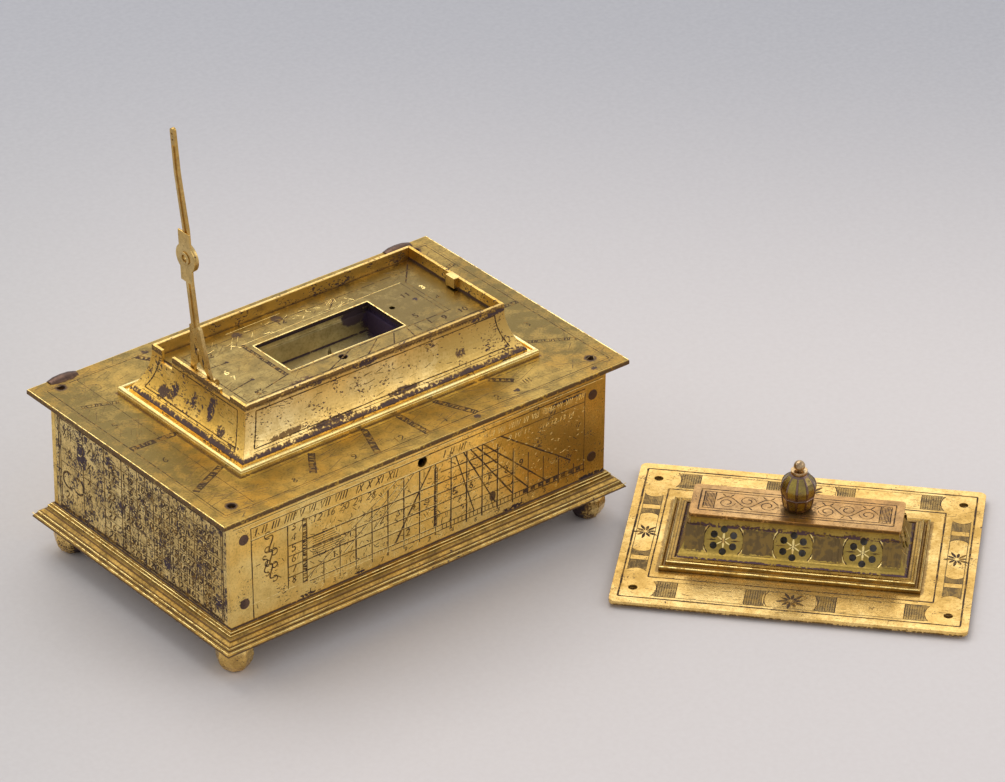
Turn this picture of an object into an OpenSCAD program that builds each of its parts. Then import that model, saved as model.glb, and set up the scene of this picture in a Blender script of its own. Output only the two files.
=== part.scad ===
// Table sundial in the form of a gilt brass box on four ball feet.
// A folding gnomon is hinged in a shallow tray on top, beside a sunk compass well.
// The pierced cover is a separate piece, lying beside the box and turned away from it.
// Origin: centre of the box, on the surface that the feet stand on. X runs along the box.

/* [Box] */
// Length of the box between its end faces
body_l = 121; // [106:1:150]
// Width of the box between its front and back faces
body_w = 76; // [66:1:100]
// Height of the four panels
panel_h = 35.8; // [28:0.2:50]
// Thickness of the front and back panels
face_t = 1.5; // [1:0.1:2.4]
// Thickness of the end panels
end_t = 1.4; // [1:0.1:2.4]
// Side of a square corner post
post_s = 5.8; // [4.6:0.2:7]
// Thickness of the base plate
base_t = 1.2; // [0.8:0.1:2]
// Slope of the base plate's edge
base_slope = 0.8; // [0.3:0.1:1.2]
// Thickness of the top plate
top_t = 1.3; // [0.8:0.1:2.4]
// Overhang of the top plate at each end
top_over_l = 4.5; // [2.5:0.1:6]
// Overhang of the top plate at the front and the back
top_over_w = 4; // [2.5:0.1:6]
// Worn bevel along the top plate's edge
top_bevel = 0.3; // [0.1:0.05:0.5]

/* [Mouldings] */
// How far the base moulding stands out from the box
mould_out = 4.3; // [3:0.1:6]
// Height of the base moulding above the base plate
mould_h = 3.6; // [2.4:0.1:5]
// How far the cornice stands out under the top plate
cornice_out = 1.6; // [0.8:0.1:2.2]
// Height of the cornice
cornice_h = 1.8; // [1:0.1:3]

/* [Feet] */
// Width of a ball foot across its flats
foot_d = 9.2; // [6:0.2:12]
// Height of a foot, and so of the base plate above the table
foot_h = 9.3; // [6:0.1:14]
// Distance of a foot's centre from the end of the box
foot_in_l = 3; // [2:0.1:12]
// Distance of a foot's centre from the front or back of the box
foot_in_w = 3; // [1:0.1:12]
// Diameter of the stud that holds a foot
foot_stud_d = 3; // [2:0.1:4]

/* [Fixings] */
// Diameter of a panel pin
pin_d = 2.9; // [1.6:0.1:3.6]
// Depth of a panel pin in its post
pin_depth = 3; // [1.5:0.1:4]
// How far a pin's end stands proud of the panel
pin_proud = 0.12; // [0.05:0.01:0.4]
// Height of the lower pins above the base plate
pin_low = 9.3; // [5:0.1:13]
// Distance of the upper pins below the top plate
pin_high = 7.8; // [5:0.1:13]
// Diameter of the hole for a style at the top of the front panel
socket_d = 3; // [1.5:0.1:4]
// Distance of that hole below the top plate
socket_drop = 6.7; // [4:0.1:12]
// Diameter of the corner holes in the top plate
corner_d = 2.2; // [1.2:0.1:3]
// Depth of the corner holes below the top plate
corner_depth = 3; // [1:0.1:5]
// Distance of the corner holes from the plate's ends
corner_in_l = 7.4; // [6:0.1:9]
// Distance of the two front holes from the plate's front edge
corner_in_front = 6.9; // [5.5:0.1:9]
// Distance of the two back holes from the plate's back edge
corner_in_back = 4.7; // [4.2:0.1:9]
// Outer diameter of a lid knuckle at the back edge
knuckle_d = 4.4; // [3:0.1:5]
// Length of a lid knuckle
knuckle_l = 8.6; // [4:0.1:10]
// Bore of a lid knuckle
knuckle_bore = 1.3; // [0.8:0.1:1.8]
// Rise of a lid knuckle above the top plate
knuckle_rise = 1; // [0.5:0.1:1.4]
// Distance of a knuckle's centre from the end of the top plate
knuckle_in_l = 10.5; // [10:0.1:20]
// Distance of a knuckle's centre from the back edge
knuckle_in_w = 1; // [0.5:0.1:1.4]

/* [Tray] */
// Length of the tray over its rim
tray_l = 83; // [78:0.5:98]
// Width of the tray over its rim
tray_w = 39.3; // [34:0.1:52]
// Height of the rim above the top plate
tray_h = 15; // [13:0.1:20]
// Thickness of the hollow-curved walls
wall_t = 0.9; // [0.8:0.1:1.8]
// Upright band under the rim
rim_band = 1.3; // [0.5:0.1:2.4]
// How far the walls spread from rim to foot
flare = 4.3; // [2:0.1:6]
// Height of the bead round the foot of the walls
bead_h = 2.1; // [1.4:0.1:3]
// How far the bead stands out from the foot of the walls
bead_out = 2.15; // [1.4:0.05:3]
// Depth of the tray below the rim
tray_depth = 3.45; // [3.2:0.05:4.2]
// Thickness of the tray floor
floor_t = 1.2; // [0.8:0.1:1.6]
// Width of the ledge that carries the floor
ledge_w = 0.9; // [0.5:0.1:1.4]
// Width of the deep notch in the left wall
notch_w = 4.4; // [2:0.1:6]
// Distance of the deep notch from the back of the rim
notch_in = 4.2; // [3:0.1:6]
// Width of the shallow notch in the left wall
nick_w = 4.2; // [2:0.1:5]
// Depth of the shallow notch
nick_depth = 1; // [0.4:0.1:1.6]
// Distance of the shallow notch from the front of the rim
nick_in = 6.4; // [3:0.1:8]
// Width of the catch block at the right wall
catch_w = 3.6; // [2:0.1:6]
// How far the catch block reaches into the tray
catch_reach = 1.3; // [1:0.1:2.6]
// Gap under the catch block
catch_gap = 0.45; // [0.3:0.05:1]
// Diameter of the hole in the floor beside the well's front edge
front_hole_d = 2.2; // [1:0.1:3]
// Diameter of the hole in the floor beyond the well's right end
end_hole_d = 1.5; // [0.8:0.1:2.4]

/* [Compass well] */
// Length of the well opening
well_l = 36.4; // [28:0.2:44]
// Width of the well opening
well_w = 15.5; // [11:0.1:20]
// Depth of the well below the tray floor
well_depth = 8.6; // [7.6:0.1:9.4]
// Height of the slot under the floor that held the glass
glass_h = 1.7; // [0.8:0.1:2.2]
// How far the glass slot reaches behind the opening
glass_back = 0.9; // [0.4:0.1:1.4]
// Thickness of the compass box
box_t = 0.9; // [0.6:0.1:1.1]
// Height of the needle pivot above the floor of the well
pivot_h = 5.2; // [3:0.1:6]
// Diameter of the needle pivot
pivot_d = 1; // [0.6:0.1:1.6]

/* [Gnomon] */
// Length of the gnomon from its hinge pin to its tip
gnomon_l = 73.4; // [62:0.1:75]
// Lean of the gnomon past upright when it stands
gnomon_lean = 5.6; // [2:0.1:8]
// Distance of the gnomon behind the tray's centre line
gnomon_y = 0.8; // [-2:0.1:2]
// Thickness of the blade
blade_t = 0.9; // [0.6:0.1:1.2]
// Width of the flared foot at its legs
foot_w = 9; // [8:0.1:10.5]
// Width of the foot where its flare ends
waist_w = 6.5; // [6:0.1:7]
// Height of that place above the hinge pin
waist_s = 6; // [4.5:0.1:8]
// Width of the foot at its shoulder
shoulder_w = 4.3; // [3.4:0.1:5]
// Height of the shoulder above the hinge pin
shoulder_s = 15.6; // [14.6:0.1:20]
// Width of the arch between the legs of the foot
arch_w = 5.4; // [4:0.1:6]
// Height of the arch above the hinge pin, without its slot
arch_s = 3.8; // [3:0.1:4.4]
// Width of the lower rod
rod_low_w = 2.5; // [2:0.1:3]
// Width of the upper rod
rod_up_w = 1.8; // [1.6:0.1:2.2]
// Height of the sighting disc's centre above the hinge pin
disc_s = 36.1; // [32:0.1:42]
// Diameter of the sighting disc
disc_d = 7.8; // [6.4:0.1:10]
// Bore of the sighting disc
disc_bore = 2; // [1.2:0.1:2.6]
// Width of the collars above and below the disc
collar_w = 4.8; // [3.4:0.1:5]
// Length from the disc's centre to the end of the upper collar
collar_up = 7.5; // [5.5:0.1:9]
// Length from the disc's centre to the end of the lower collar
collar_low = 6.9; // [5.5:0.1:9]
// Thickness of the disc plate on the blade's face
disc_t = 0.5; // [0.4:0.05:0.8]
// Slight bow of the blade from a straight line
blade_bow = 0.35; // [0.1:0.05:0.5]
// Diameter of the hinge pin
hinge_d = 1.1; // [0.8:0.05:1.3]
// Radius of the knuckles round the hinge pin
hinge_r = 1.2; // [1.1:0.05:1.3]
// Height of the hinge pin above the tray floor
hinge_up = 1.6; // [1.5:0.05:1.9]

/* [Cover] */
// Distance of the cover's centre from the box's centre along X
cover_x = 88.9; // [86:0.1:110]
// Distance of the cover's centre from the box's centre along Y
cover_y = -83.8; // [-110:0.1:-82]
// Turn of the cover on the table
cover_turn = -48.1; // [-56:0.1:-40]
// Length of the cover plate
cover_l = 91.7; // [84:0.1:96]
// Width of the cover plate
cover_w = 68; // [56:0.5:70]
// Thickness of the cover plate
cover_t = 1.2; // [0.8:0.1:2]
// Radius of the cover plate's corners
cover_r = 1.8; // [0.5:0.1:3]
// Diameter of the cover's corner holes
cover_hole_d = 2.4; // [1:0.1:2.6]
// Distance of the corner holes from the ends of the cover plate
cover_hole_l = 5.5; // [3.5:0.1:7]
// Distance of the corner holes from the long edges of the cover plate
cover_hole_w = 7.2; // [3.5:0.1:9]
// Height of the locating lip under the cover plate
lip_h = 1; // [0.6:0.1:2]
// Width of the locating lip
lip_t = 1.6; // [1:0.1:3]
// Length of the raised top slab
cap_l = 54.9; // [46:0.1:58]
// Width of the raised top slab
cap_w = 14.6; // [11:0.1:20]
// Thickness of the raised top slab
cap_t = 1; // [0.6:0.1:1.6]
// Overhang of the top slab past the pierced walls
cap_over = 0.6; // [0.2:0.1:1]
// Height of the top slab above the cover plate
cap_h = 12; // [9.5:0.1:16]
// Spread of the end walls of the casket from top to foot
end_flare = 3.1; // [2:0.1:4.5]
// Spread of the long walls of the casket from top to foot
long_flare = 6.8; // [5:0.1:7.2]
// Thickness of the casket walls
casket_t = 1; // [0.6:0.1:1.2]
// How far the casket stands off the plate's centre along the plate
casket_off_l = -1.2; // [-2:0.1:2]
// How far the casket stands off the plate's centre across the plate
casket_off_w = -0.7; // [-2:0.1:2]
// How far the cover moulding stands out from the casket
cover_mould_out = 3.8; // [2:0.1:4.4]
// Height of the cover moulding
cover_mould_h = 2.3; // [1.5:0.1:3]
// Diameter of one hole of a pierced rosette
petal_d = 1.85; // [1:0.05:2.2]
// Radius of the ring of holes in a rosette
petal_r = 2.9; // [2.4:0.05:3.4]
// Distance between the rosettes along a long wall
rosette_pitch = 18; // [12:0.5:20]
// Height of the long walls' rosettes above the cover plate
rosette_h = 5.5; // [5.3:0.1:7]
// Holes in a rosette
petals = 6; // [5:1:8]

/* [Finial] */
// Width of the acorn finial
finial_d = 9.6; // [7:0.1:12]
// Height of the acorn finial
finial_h = 10.5; // [8:0.1:14]
// Sides of the acorn finial
finial_sides = 10; // [8:1:12]
// Diameter of the collar on the acorn
collar_d = 4.4; // [3.2:0.1:6]
// Diameter of the bead on top
bead_d = 3; // [2:0.1:4]
// Diameter of the finial's stud
stud_d = 2; // [1.4:0.1:3]
// Depth of the stud in the acorn
stud_in = 5; // [3:0.1:6]
// Side of the square nut under the top slab
nut_s = 4.6; // [3.8:0.1:5.4]
// Thickness of the nut
nut_t = 1.4; // [0.8:0.1:2.4]

/* [Hidden] */
// Play between pieces that are pushed or let into each other
fit = 0.03;
// Radial play of the hinge pin in its lug
run = 0.05;
// Side play of the gnomon's fork on its lug
side_play = 0.1;
// Clearance of a part that drops into another
drop_in = 0.5;
// Overshoot of a cut past a face
cut = 1;
// Height and width of the rib along the gnomon's rods
rib_up = 0.3;
rib_w = 0.7;
// Diameters of the disc's eyelet and of its lip, and the lip's height
eyelet_d = disc_bore + 0.9;
lip_d = eyelet_d + 0.7;
lip_up = 0.35;
// Diameter of the tenon under the hinge lug
tenon_d = 1.8;
arc_steps = 12;

z_base = foot_h;
z_panel = z_base + base_t;
z_under = z_panel + panel_h;
z_top = z_under + top_t;
z_rim = z_top + tray_h;
z_floor = z_rim - tray_depth;
z_shelf = z_floor - floor_t;

top_l = body_l + 2 * top_over_l;
top_w = body_w + 2 * top_over_w;
post_x = body_l / 2 - end_t - post_s / 2;
post_y = body_w / 2 - face_t - post_s / 2;
foot_x = body_l / 2 - foot_in_l;
foot_y = body_w / 2 - foot_in_w;
corner_x = top_l / 2 - corner_in_l;
corner_front = top_w / 2 - corner_in_front;
corner_back = top_w / 2 - corner_in_back;
knuckle_x = top_l / 2 - knuckle_in_l;
knuckle_y = top_w / 2 - knuckle_in_w;
knuckle_z = z_top + knuckle_rise - knuckle_d / 2;

inner_l = tray_l - 2 * wall_t;
inner_w = tray_w - 2 * wall_t;
foot_edge = bead_h - 0.2;
wall_drop = tray_h - rim_band - foot_edge;
wall_r = (flare * flare + wall_drop * wall_drop) / (2 * flare);
shelf_v = z_shelf - z_top;

hinge_z = z_floor + hinge_up;
rest_gap = 0.5;
hinge_x = -inner_l / 2 + rest_gap + (z_rim - hinge_z) * tan(gnomon_lean) + hinge_r / cos(gnomon_lean);
lug_w = arch_w - 2 * side_play;
blade_back = blade_t / 2 - hinge_r;
bend_s = [0, shoulder_s, disc_s - collar_low, disc_s + collar_up, (disc_s + gnomon_l) / 2 + 6, gnomon_l];
bend_x = blade_bow * [0, 0.7, 1, -1, 0.6, 0];

z_plate = lip_h;
z_cover = z_plate + cover_t;
z_cap = z_cover + cap_h;
casket_l = cap_l - 2 * cap_over;
casket_w = cap_w - 2 * cap_over;
casket_h = cap_h - cap_t;
casket_foot = cover_mould_h - 0.4;
foot_l = casket_l + 2 * end_flare;
foot_wid = casket_w + 2 * long_flare;
open_l = foot_l - 2 * casket_t - 2;
open_w = foot_wid - 2 * casket_t - 2;

gold = "#c9a545";
olive = "#a8893a";
pale = "#dcc06c";
tarnish = "#8d7440";
dark = "#3f3530";

// Points of an arc of centre c and radius r from angle a0 to angle a1
function arc(c, r, a0, a1, n = arc_steps) =
    [for (i = [0:n]) let (a = a0 + (a1 - a0) * i / n) c + r * [cos(a), sin(a)]];

// A strip along X that stands out along +Y, with its ends cut to a mitre.
// The children are its section, drawn as distance outward and height.
// The strip has length len at distance 0, and grows by slope for each unit outward.
module mitred(len, inward, outward, height, slope = 1) {
    reach = len + 2 * slope * outward + 2 * cut;
    intersection() {
        rotate([90, 0, 90]) linear_extrude(reach, center = true) children();
        translate([0, 0, -cut]) linear_extrude(height + 2 * cut)
            polygon([
                [-len / 2 + slope * inward, -inward], [len / 2 - slope * inward, -inward],
                [len / 2 + slope * outward, outward], [-len / 2 - slope * outward, outward]
            ]);
    }
}

// Places children at one side of a rectangle l by w: their +Y points out of it
module at_side(side, l, w) {
    if (side == "back") translate([0, w / 2, 0]) children();
    if (side == "front") translate([0, -w / 2, 0]) rotate([0, 0, 180]) children();
    if (side == "left") translate([-l / 2, 0, 0]) rotate([0, 0, 90]) children();
    if (side == "right") translate([l / 2, 0, 0]) rotate([0, 0, -90]) children();
}

// The length of one side of a rectangle l by w
function side_len(side, l, w) = (side == "front" || side == "back") ? l : w;

// A plate with its upper edges sloped all round by c outward and d down
module sloped_plate(l, w, t, c, d) {
    intersection() {
        rotate([90, 0, 0]) linear_extrude(w, center = true)
            polygon([[-l / 2, 0], [l / 2, 0], [l / 2, t - d], [l / 2 - c, t], [c - l / 2, t], [-l / 2, t - d]]);
        rotate([90, 0, 90]) linear_extrude(l, center = true)
            polygon([[-w / 2, 0], [w / 2, 0], [w / 2, t - d], [w / 2 - c, t], [c - w / 2, t], [-w / 2, t - d]]);
    }
}

module corners(x, y) {
    for (sx = [-1, 1], sy = [-1, 1]) translate([sx * x, sy * y, 0]) children();
}

// Section of the base moulding: two beads, a cove, a fine bead and a lower cove
module base_section() {
    o = mould_out;
    h = mould_h;
    r = 0.09 * h;
    polygon(concat(
        [[0, 0], [0.79 * o, 0], [0.79 * o, 0.05 * h]],
        arc([0.71 * o, 0.11 * h], 0.06 * h, -20, 110, 5),
        [[0.66 * o, 0.17 * h], [0.5 * o, 0.36 * h], [0.42 * o, 0.4 * h]],
        [[0.36 * o, 0.47 * h], [0.33 * o, 0.56 * h]],
        arc([0.25 * o, 0.67 * h], r, -30, 110, 7),
        arc([0.13 * o, 0.82 * h], r, -20, 120, 7),
        [[0.04 * o, 0.94 * h], [0, h]]
    ));
}

module base_moulding(side) {
    color(gold) translate([0, 0, z_panel]) at_side(side, body_l, body_w)
        mitred(side_len(side, body_l, body_w), 0, mould_out, mould_h) base_section();
}

module base_plate() {
    l = body_l + 2 * mould_out;
    w = body_w + 2 * mould_out;
    color(gold) translate([0, 0, z_base]) difference() {
        sloped_plate(l, w, base_t, base_slope, 0.85 * base_t);
        corners(foot_x, foot_y) translate([0, 0, -cut])
            cylinder(d = foot_stud_d + 2 * fit, h = base_t + 2 * cut, $fn = 32);
    }
}

// One faceted ball foot with the stud that passes through the base plate
module ball_foot(sx, sy) {
    levels = [[0, 0.26], [0.1, 0.39], [0.28, 0.5], [0.48, 0.54], [0.68, 0.52], [0.86, 0.43], [1, 0.3]];
    color(gold) translate([sx * foot_x, sy * foot_y, 0]) {
        hull() for (s = levels)
            translate([0, 0, s[0] * (foot_h - 0.02)]) cylinder(r = s[1] * foot_d, h = 0.02, $fn = 8);
        translate([0, 0, foot_h / 2])
            cylinder(d = foot_stud_d, h = foot_h / 2 + base_t, $fn = 32);
    }
}

// The holes for the pins of a long panel, or the pins themselves
module pin_row(d, depth, proud) {
    for (sx = [-1, 1], z = [z_panel + pin_low, z_under - pin_high])
        translate([sx * post_x, -body_w / 2 + depth, z])
            rotate([90, 0, 0]) cylinder(d = d, h = depth + proud, $fn = 32);
}

// The corner holes, which run through the top plate into what is under it
module corner_bores() {
    for (sx = [-1, 1], y = [-corner_front, corner_back])
        translate([sx * corner_x, y, z_under - corner_depth])
            cylinder(d = corner_d, h = corner_depth + top_t + cut, $fn = 32);
}

// The two lid knuckles as solid barrels that taper toward their ends, grown by a clearance
module knuckle_pair(grow = 0) {
    taper = [[-0.5, 0.72], [-0.26, 0.95], [0, 1], [0.26, 0.95], [0.5, 0.72]];
    for (sx = [-1, 1]) translate([sx * knuckle_x, knuckle_y, knuckle_z]) rotate([0, 90, 0])
        hull() for (s = taper) translate([0, 0, s[0] * (knuckle_l + 2 * grow)])
            cylinder(d = s[1] * knuckle_d + 2 * grow, h = 0.02, center = true, $fn = 48);
}

module front_panel() {
    color(gold) difference() {
        translate([-body_l / 2, -body_w / 2, z_panel]) cube([body_l, face_t, panel_h]);
        pin_row(pin_d + 2 * fit, face_t + cut, cut);
        translate([0, -body_w / 2 - cut, z_under - socket_drop])
            rotate([-90, 0, 0]) cylinder(d = socket_d, h = face_t + 2 * cut, $fn = 32);
        corner_bores();
    }
}

module back_panel() {
    color(olive) difference() {
        translate([-body_l / 2, body_w / 2 - face_t, z_panel]) cube([body_l, face_t, panel_h]);
        rotate([0, 0, 180]) pin_row(pin_d + 2 * fit, face_t + cut, cut);
        corner_bores();
    }
}

module end_panel(sx) {
    w = body_w - 2 * face_t;
    color(tarnish) difference() {
        translate([sx * (body_l / 2 - end_t / 2) - end_t / 2, -w / 2, z_panel]) cube([end_t, w, panel_h]);
        corner_bores();
    }
}

module corner_posts() {
    color(olive) difference() {
        corners(post_x, post_y)
            translate([-post_s / 2, -post_s / 2, z_panel]) cube([post_s, post_s, panel_h]);
        pin_row(pin_d + 2 * fit, face_t + pin_depth, cut);
        rotate([0, 0, 180]) pin_row(pin_d + 2 * fit, face_t + pin_depth, cut);
        corner_bores();
    }
}

module front_pins() {
    color(dark) pin_row(pin_d, face_t + pin_depth - fit, pin_proud);
}

module back_pins() {
    color(dark) rotate([0, 0, 180]) pin_row(pin_d, face_t + pin_depth - fit, pin_proud);
}

module cornice() {
    o = cornice_out;
    h = cornice_h;
    color(gold) difference() {
        for (side = ["front", "back", "left", "right"])
            translate([0, 0, z_under - h]) at_side(side, body_l, body_w)
                mitred(side_len(side, body_l, body_w), 0, o, h) polygon(concat(
                    [[0, 0], [0.2 * o, 0]],
                    arc([0.95 * o, 0.1 * h], 0.7 * o, 180, 105, 6),
                    [[0.82 * o, 0.62 * h], [o, 0.66 * h], [o, h], [0, h]]
                ));
        corner_bores();
        knuckle_pair(fit);
    }
}

module top_plate() {
    color(olive) difference() {
        translate([0, 0, z_under]) sloped_plate(top_l, top_w, top_t, top_bevel, top_bevel);
        corner_bores();
        knuckle_pair(fit);
    }
}

module lid_knuckles() {
    color(dark) difference() {
        knuckle_pair();
        translate([0, knuckle_y, knuckle_z]) rotate([0, 90, 0])
            cylinder(d = knuckle_bore, h = top_l, center = true, $fn = 32);
    }
}

// Section of a tray wall: an upright band, then a hollow curve down to the foot,
// with the same curve inside and a ledge for the floor
module tray_section() {
    c = [wall_r, tray_h - rim_band];
    a_foot = asin(wall_drop / wall_r);
    r_in = wall_r + wall_t;
    ledge_v = shelf_v - 1;
    join_v = ledge_v - 1.2;
    a_in = asin((c[1] - join_v) / r_in);
    a_end = asin(min(0.99, (c[1] - foot_edge) / r_in));
    polygon(concat(
        [[-wall_t, tray_h], [0, tray_h]],
        arc(c, wall_r, 180, 180 + a_foot),
        [[flare, 0], [c[0] - r_in * cos(a_end), 0]],
        arc(c, r_in, 180 + a_end, 180 + a_in, 8),
        [[-wall_t - ledge_w, ledge_v], [-wall_t - ledge_w, shelf_v], [-wall_t, shelf_v]]
    ));
}

module tray_wall_at(side) {
    translate([0, 0, z_top]) at_side(side, tray_l, tray_w)
        mitred(side_len(side, tray_l, tray_w), wall_t + ledge_w + cut, flare + cut, tray_h)
            tray_section();
}

module tray_wall_long(side) {
    color(pale) tray_wall_at(side);
}

module tray_wall_left() {
    x = -tray_l / 2 - flare;
    color(gold) difference() {
        tray_wall_at("left");
        translate([x, tray_w / 2 - notch_in - notch_w, z_floor]) cube([2 * flare + cut, notch_w, tray_h]);
        translate([x, -tray_w / 2 + nick_in, z_rim - nick_depth]) cube([2 * flare + cut, nick_w, tray_h]);
    }
}

module tray_wall_right() {
    color(gold) difference() {
        tray_wall_at("right");
        translate([0, -catch_w / 2 - fit, z_floor + catch_gap]) cube([tray_l, catch_w + 2 * fit, tray_h]);
    }
}

module tray_bead(side) {
    l = tray_l + 2 * flare;
    w = tray_w + 2 * flare;
    o = bead_out;
    h = bead_h;
    color(gold) translate([0, 0, z_top]) at_side(side, l, w)
        mitred(side_len(side, l, w), 0, o, h) polygon(concat(
            [[0, 0], [o, 0], [o, 0.55 * h]],
            arc([0.7 * o, 0.7 * h], 0.3 * h, -25, 150, 9),
            [[0.4 * o, 0.62 * h], [0, 0.58 * h]]
        ));
}

module tray_floor() {
    color(olive) difference() {
        translate([0, 0, z_shelf + floor_t / 2])
            cube([inner_l - 2 * fit, inner_w - 2 * fit, floor_t], center = true);
        cube([well_l, well_w, 4 * z_rim], center = true);
        translate([-3.9, -well_w / 2 - 1.8 - front_hole_d / 2, z_shelf - cut])
            cylinder(d = front_hole_d, h = floor_t + 2 * cut, $fn = 32);
        translate([well_l / 2 + 2.3 + end_hole_d / 2, 1.2, z_shelf - cut])
            cylinder(d = end_hole_d, h = floor_t + 2 * cut, $fn = 32);
        translate([hinge_x, gnomon_y, z_shelf - cut])
            cylinder(d = tenon_d + 2 * fit, h = floor_t + 2 * cut, $fn = 32);
    }
}

module compass_box() {
    slot_l = well_l + 2 * glass_back;
    slot_w = well_w + 2 * glass_back;
    z_well = z_floor - well_depth;
    color(tarnish) difference() {
        translate([-slot_l / 2 - box_t, -slot_w / 2 - box_t, z_well - box_t])
            cube([slot_l + 2 * box_t, slot_w + 2 * box_t, z_shelf - z_well + box_t]);
        translate([-slot_l / 2, -slot_w / 2, z_shelf - glass_h]) cube([slot_l, slot_w, glass_h + cut]);
        translate([-well_l / 2, -well_w / 2, z_well]) cube([well_l, well_w, well_depth]);
        translate([0, 0, z_well - box_t - cut])
            cylinder(d = pivot_d + 2 * fit, h = box_t + 2 * cut, $fn = 32);
    }
}

module compass_pivot() {
    tip = 1.6;
    z_well = z_floor - well_depth;
    color(gold) {
        translate([0, 0, z_well - box_t]) cylinder(d = pivot_d, h = box_t + pivot_h - tip, $fn = 32);
        translate([0, 0, z_well]) cylinder(d = 2.4 * pivot_d, h = 0.5, $fn = 32);
        translate([0, 0, z_well + pivot_h - tip]) cylinder(d1 = pivot_d, d2 = 0.2 * pivot_d, h = tip, $fn = 32);
    }
}

module catch_block() {
    x = inner_l / 2 - catch_reach;
    h = tray_depth - catch_gap;
    color(gold) translate([x, -catch_w / 2, z_floor + catch_gap])
        cube([catch_reach + wall_t, catch_w, h]);
}

// The ear that the gnomon's fork stands round, with a tenon through the tray floor
module hinge_lug() {
    color(gold) difference() {
        translate([hinge_x, gnomon_y, 0]) {
            translate([0, 0, hinge_z]) rotate([90, 0, 0])
                cylinder(r = hinge_r, h = lug_w, center = true, $fn = 40);
            translate([-hinge_r, -lug_w / 2, z_floor]) cube([2 * hinge_r, lug_w, hinge_up]);
            translate([0, 0, z_shelf]) cylinder(d = tenon_d, h = floor_t + 0.3, $fn = 32);
        }
        translate([hinge_x, gnomon_y, hinge_z]) rotate([90, 0, 0])
            cylinder(r = hinge_d / 2 + run, h = lug_w + 2 * cut, center = true, $fn = 40);
    }
}

// Front view of the blade: a flared foot, a rod with a disc, and a rounded tip
module blade_outline() {
    tip_r = 0.44 * rod_up_w;
    right = [
        [foot_w / 2, 0], [foot_w / 2 - 0.3, 1.8], [waist_w / 2 + 0.25, waist_s - 1.6],
        [waist_w / 2, waist_s], [shoulder_w / 2, shoulder_s], [rod_low_w / 2, shoulder_s + 0.5],
        [rod_low_w / 2 - 0.1, disc_s], [rod_up_w / 2 + 0.1, disc_s + collar_up],
        [tip_r, gnomon_l - tip_r]
    ];
    polygon(concat(right, [for (i = [len(right) - 1:-1:0]) [-right[i][0], right[i][1]]]));
    translate([0, gnomon_l - tip_r]) circle(tip_r, $fn = 32);
    translate([0, disc_s]) circle(d = disc_d, $fn = 64);
    translate([-foot_w / 2, -hinge_r]) square([foot_w, hinge_r]);
}

// The openings of the foot: an arch for the lug, a slot above it, a round eye and a dot
module foot_openings() {
    w = arch_w / 2;
    slot = 0.3;
    top = arch_s + 3.6;
    right = [[w, -hinge_r - cut], [w, 0.6 * arch_s], [0.8 * w, 0.85 * arch_s], [slot, arch_s + 0.9], [slot, top]];
    polygon(concat(right, [for (i = [len(right) - 1:-1:0]) [-right[i][0], right[i][1]]]));
    translate([0, top + 1.4]) circle(d = 1.3, $fn = 32);
    translate([0, top + 4.6]) circle(d = 0.8, $fn = 24);
}

// Side view of the blade between t0 and t1, along its slight bends and set off from the pin
module blade_side(t0, t1) {
    polygon(concat(
        [for (i = [0:5]) [blade_back - bend_x[i] + t0, bend_s[i]]],
        [for (i = [5:-1:0]) [blade_back - bend_x[i] + t1, bend_s[i]]]
    ));
}

// Puts a piece drawn on the hinge pin, with the blade upright, at its standing lean
module on_hinge() {
    translate([hinge_x, gnomon_y, hinge_z]) rotate([0, -gnomon_lean, 0]) children();
}

// Puts a piece drawn on the disc's centre, its face toward -X, on the blade's straight middle
module on_disc() {
    f = collar_low / (collar_low + collar_up);
    off = bend_x[2] + (bend_x[3] - bend_x[2]) * f;
    turn = atan((bend_x[3] - bend_x[2]) / (collar_low + collar_up));
    translate([blade_back - off, 0, disc_s]) rotate([0, -turn, 0]) children();
}

module gnomon_blade() {
    t = blade_t / 2;
    color(gold) on_hinge() difference() {
        union() {
            intersection() {
                rotate([90, 0, 90]) linear_extrude(8 * hinge_r, center = true) difference() {
                    blade_outline();
                    foot_openings();
                }
                rotate([90, 0, 0]) linear_extrude(2 * foot_w, center = true) {
                    circle(hinge_r, $fn = 40);
                    translate([-hinge_r, 0]) square([hinge_r, 0.9 * hinge_r]);
                    blade_side(-t, t);
                }
            }
            intersection() {
                rotate([90, 0, 0]) linear_extrude(rib_w, center = true) blade_side(-t - rib_up, 0);
                translate([-4, -4, shoulder_s]) cube([8, 8, gnomon_l - shoulder_s - 5]);
            }
        }
        rotate([90, 0, 0]) cylinder(r = hinge_d / 2 + fit, h = 2 * foot_w, center = true, $fn = 40);
        on_disc() rotate([0, 90, 0])
            cylinder(d = eyelet_d + 2 * fit, h = 4 * blade_t, center = true, $fn = 40);
        on_disc() translate([-t - 4 * rib_up, -foot_w, -collar_low - fit])
            cube([4 * rib_up, 2 * foot_w, collar_low + collar_up + 2 * fit]);
        for (s = [1.5, 3.2]) translate([0, 0, gnomon_l - s]) rotate([0, 90, 0])
            cylinder(d = 0.6, h = 8, center = true, $fn = 24);
    }
}

// The plate on the blade's face: a disc with a collar above and below it
module sighting_disc() {
    color(gold) on_hinge() on_disc() translate([-blade_t / 2 - disc_t, 0, 0])
        rotate([90, 0, 90]) linear_extrude(disc_t) difference() {
            union() {
                circle(d = disc_d, $fn = 64);
                translate([-collar_w / 2, -collar_low]) square([collar_w, collar_low + collar_up]);
            }
            circle(d = eyelet_d + 2 * fit, $fn = 40);
        }
}

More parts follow.
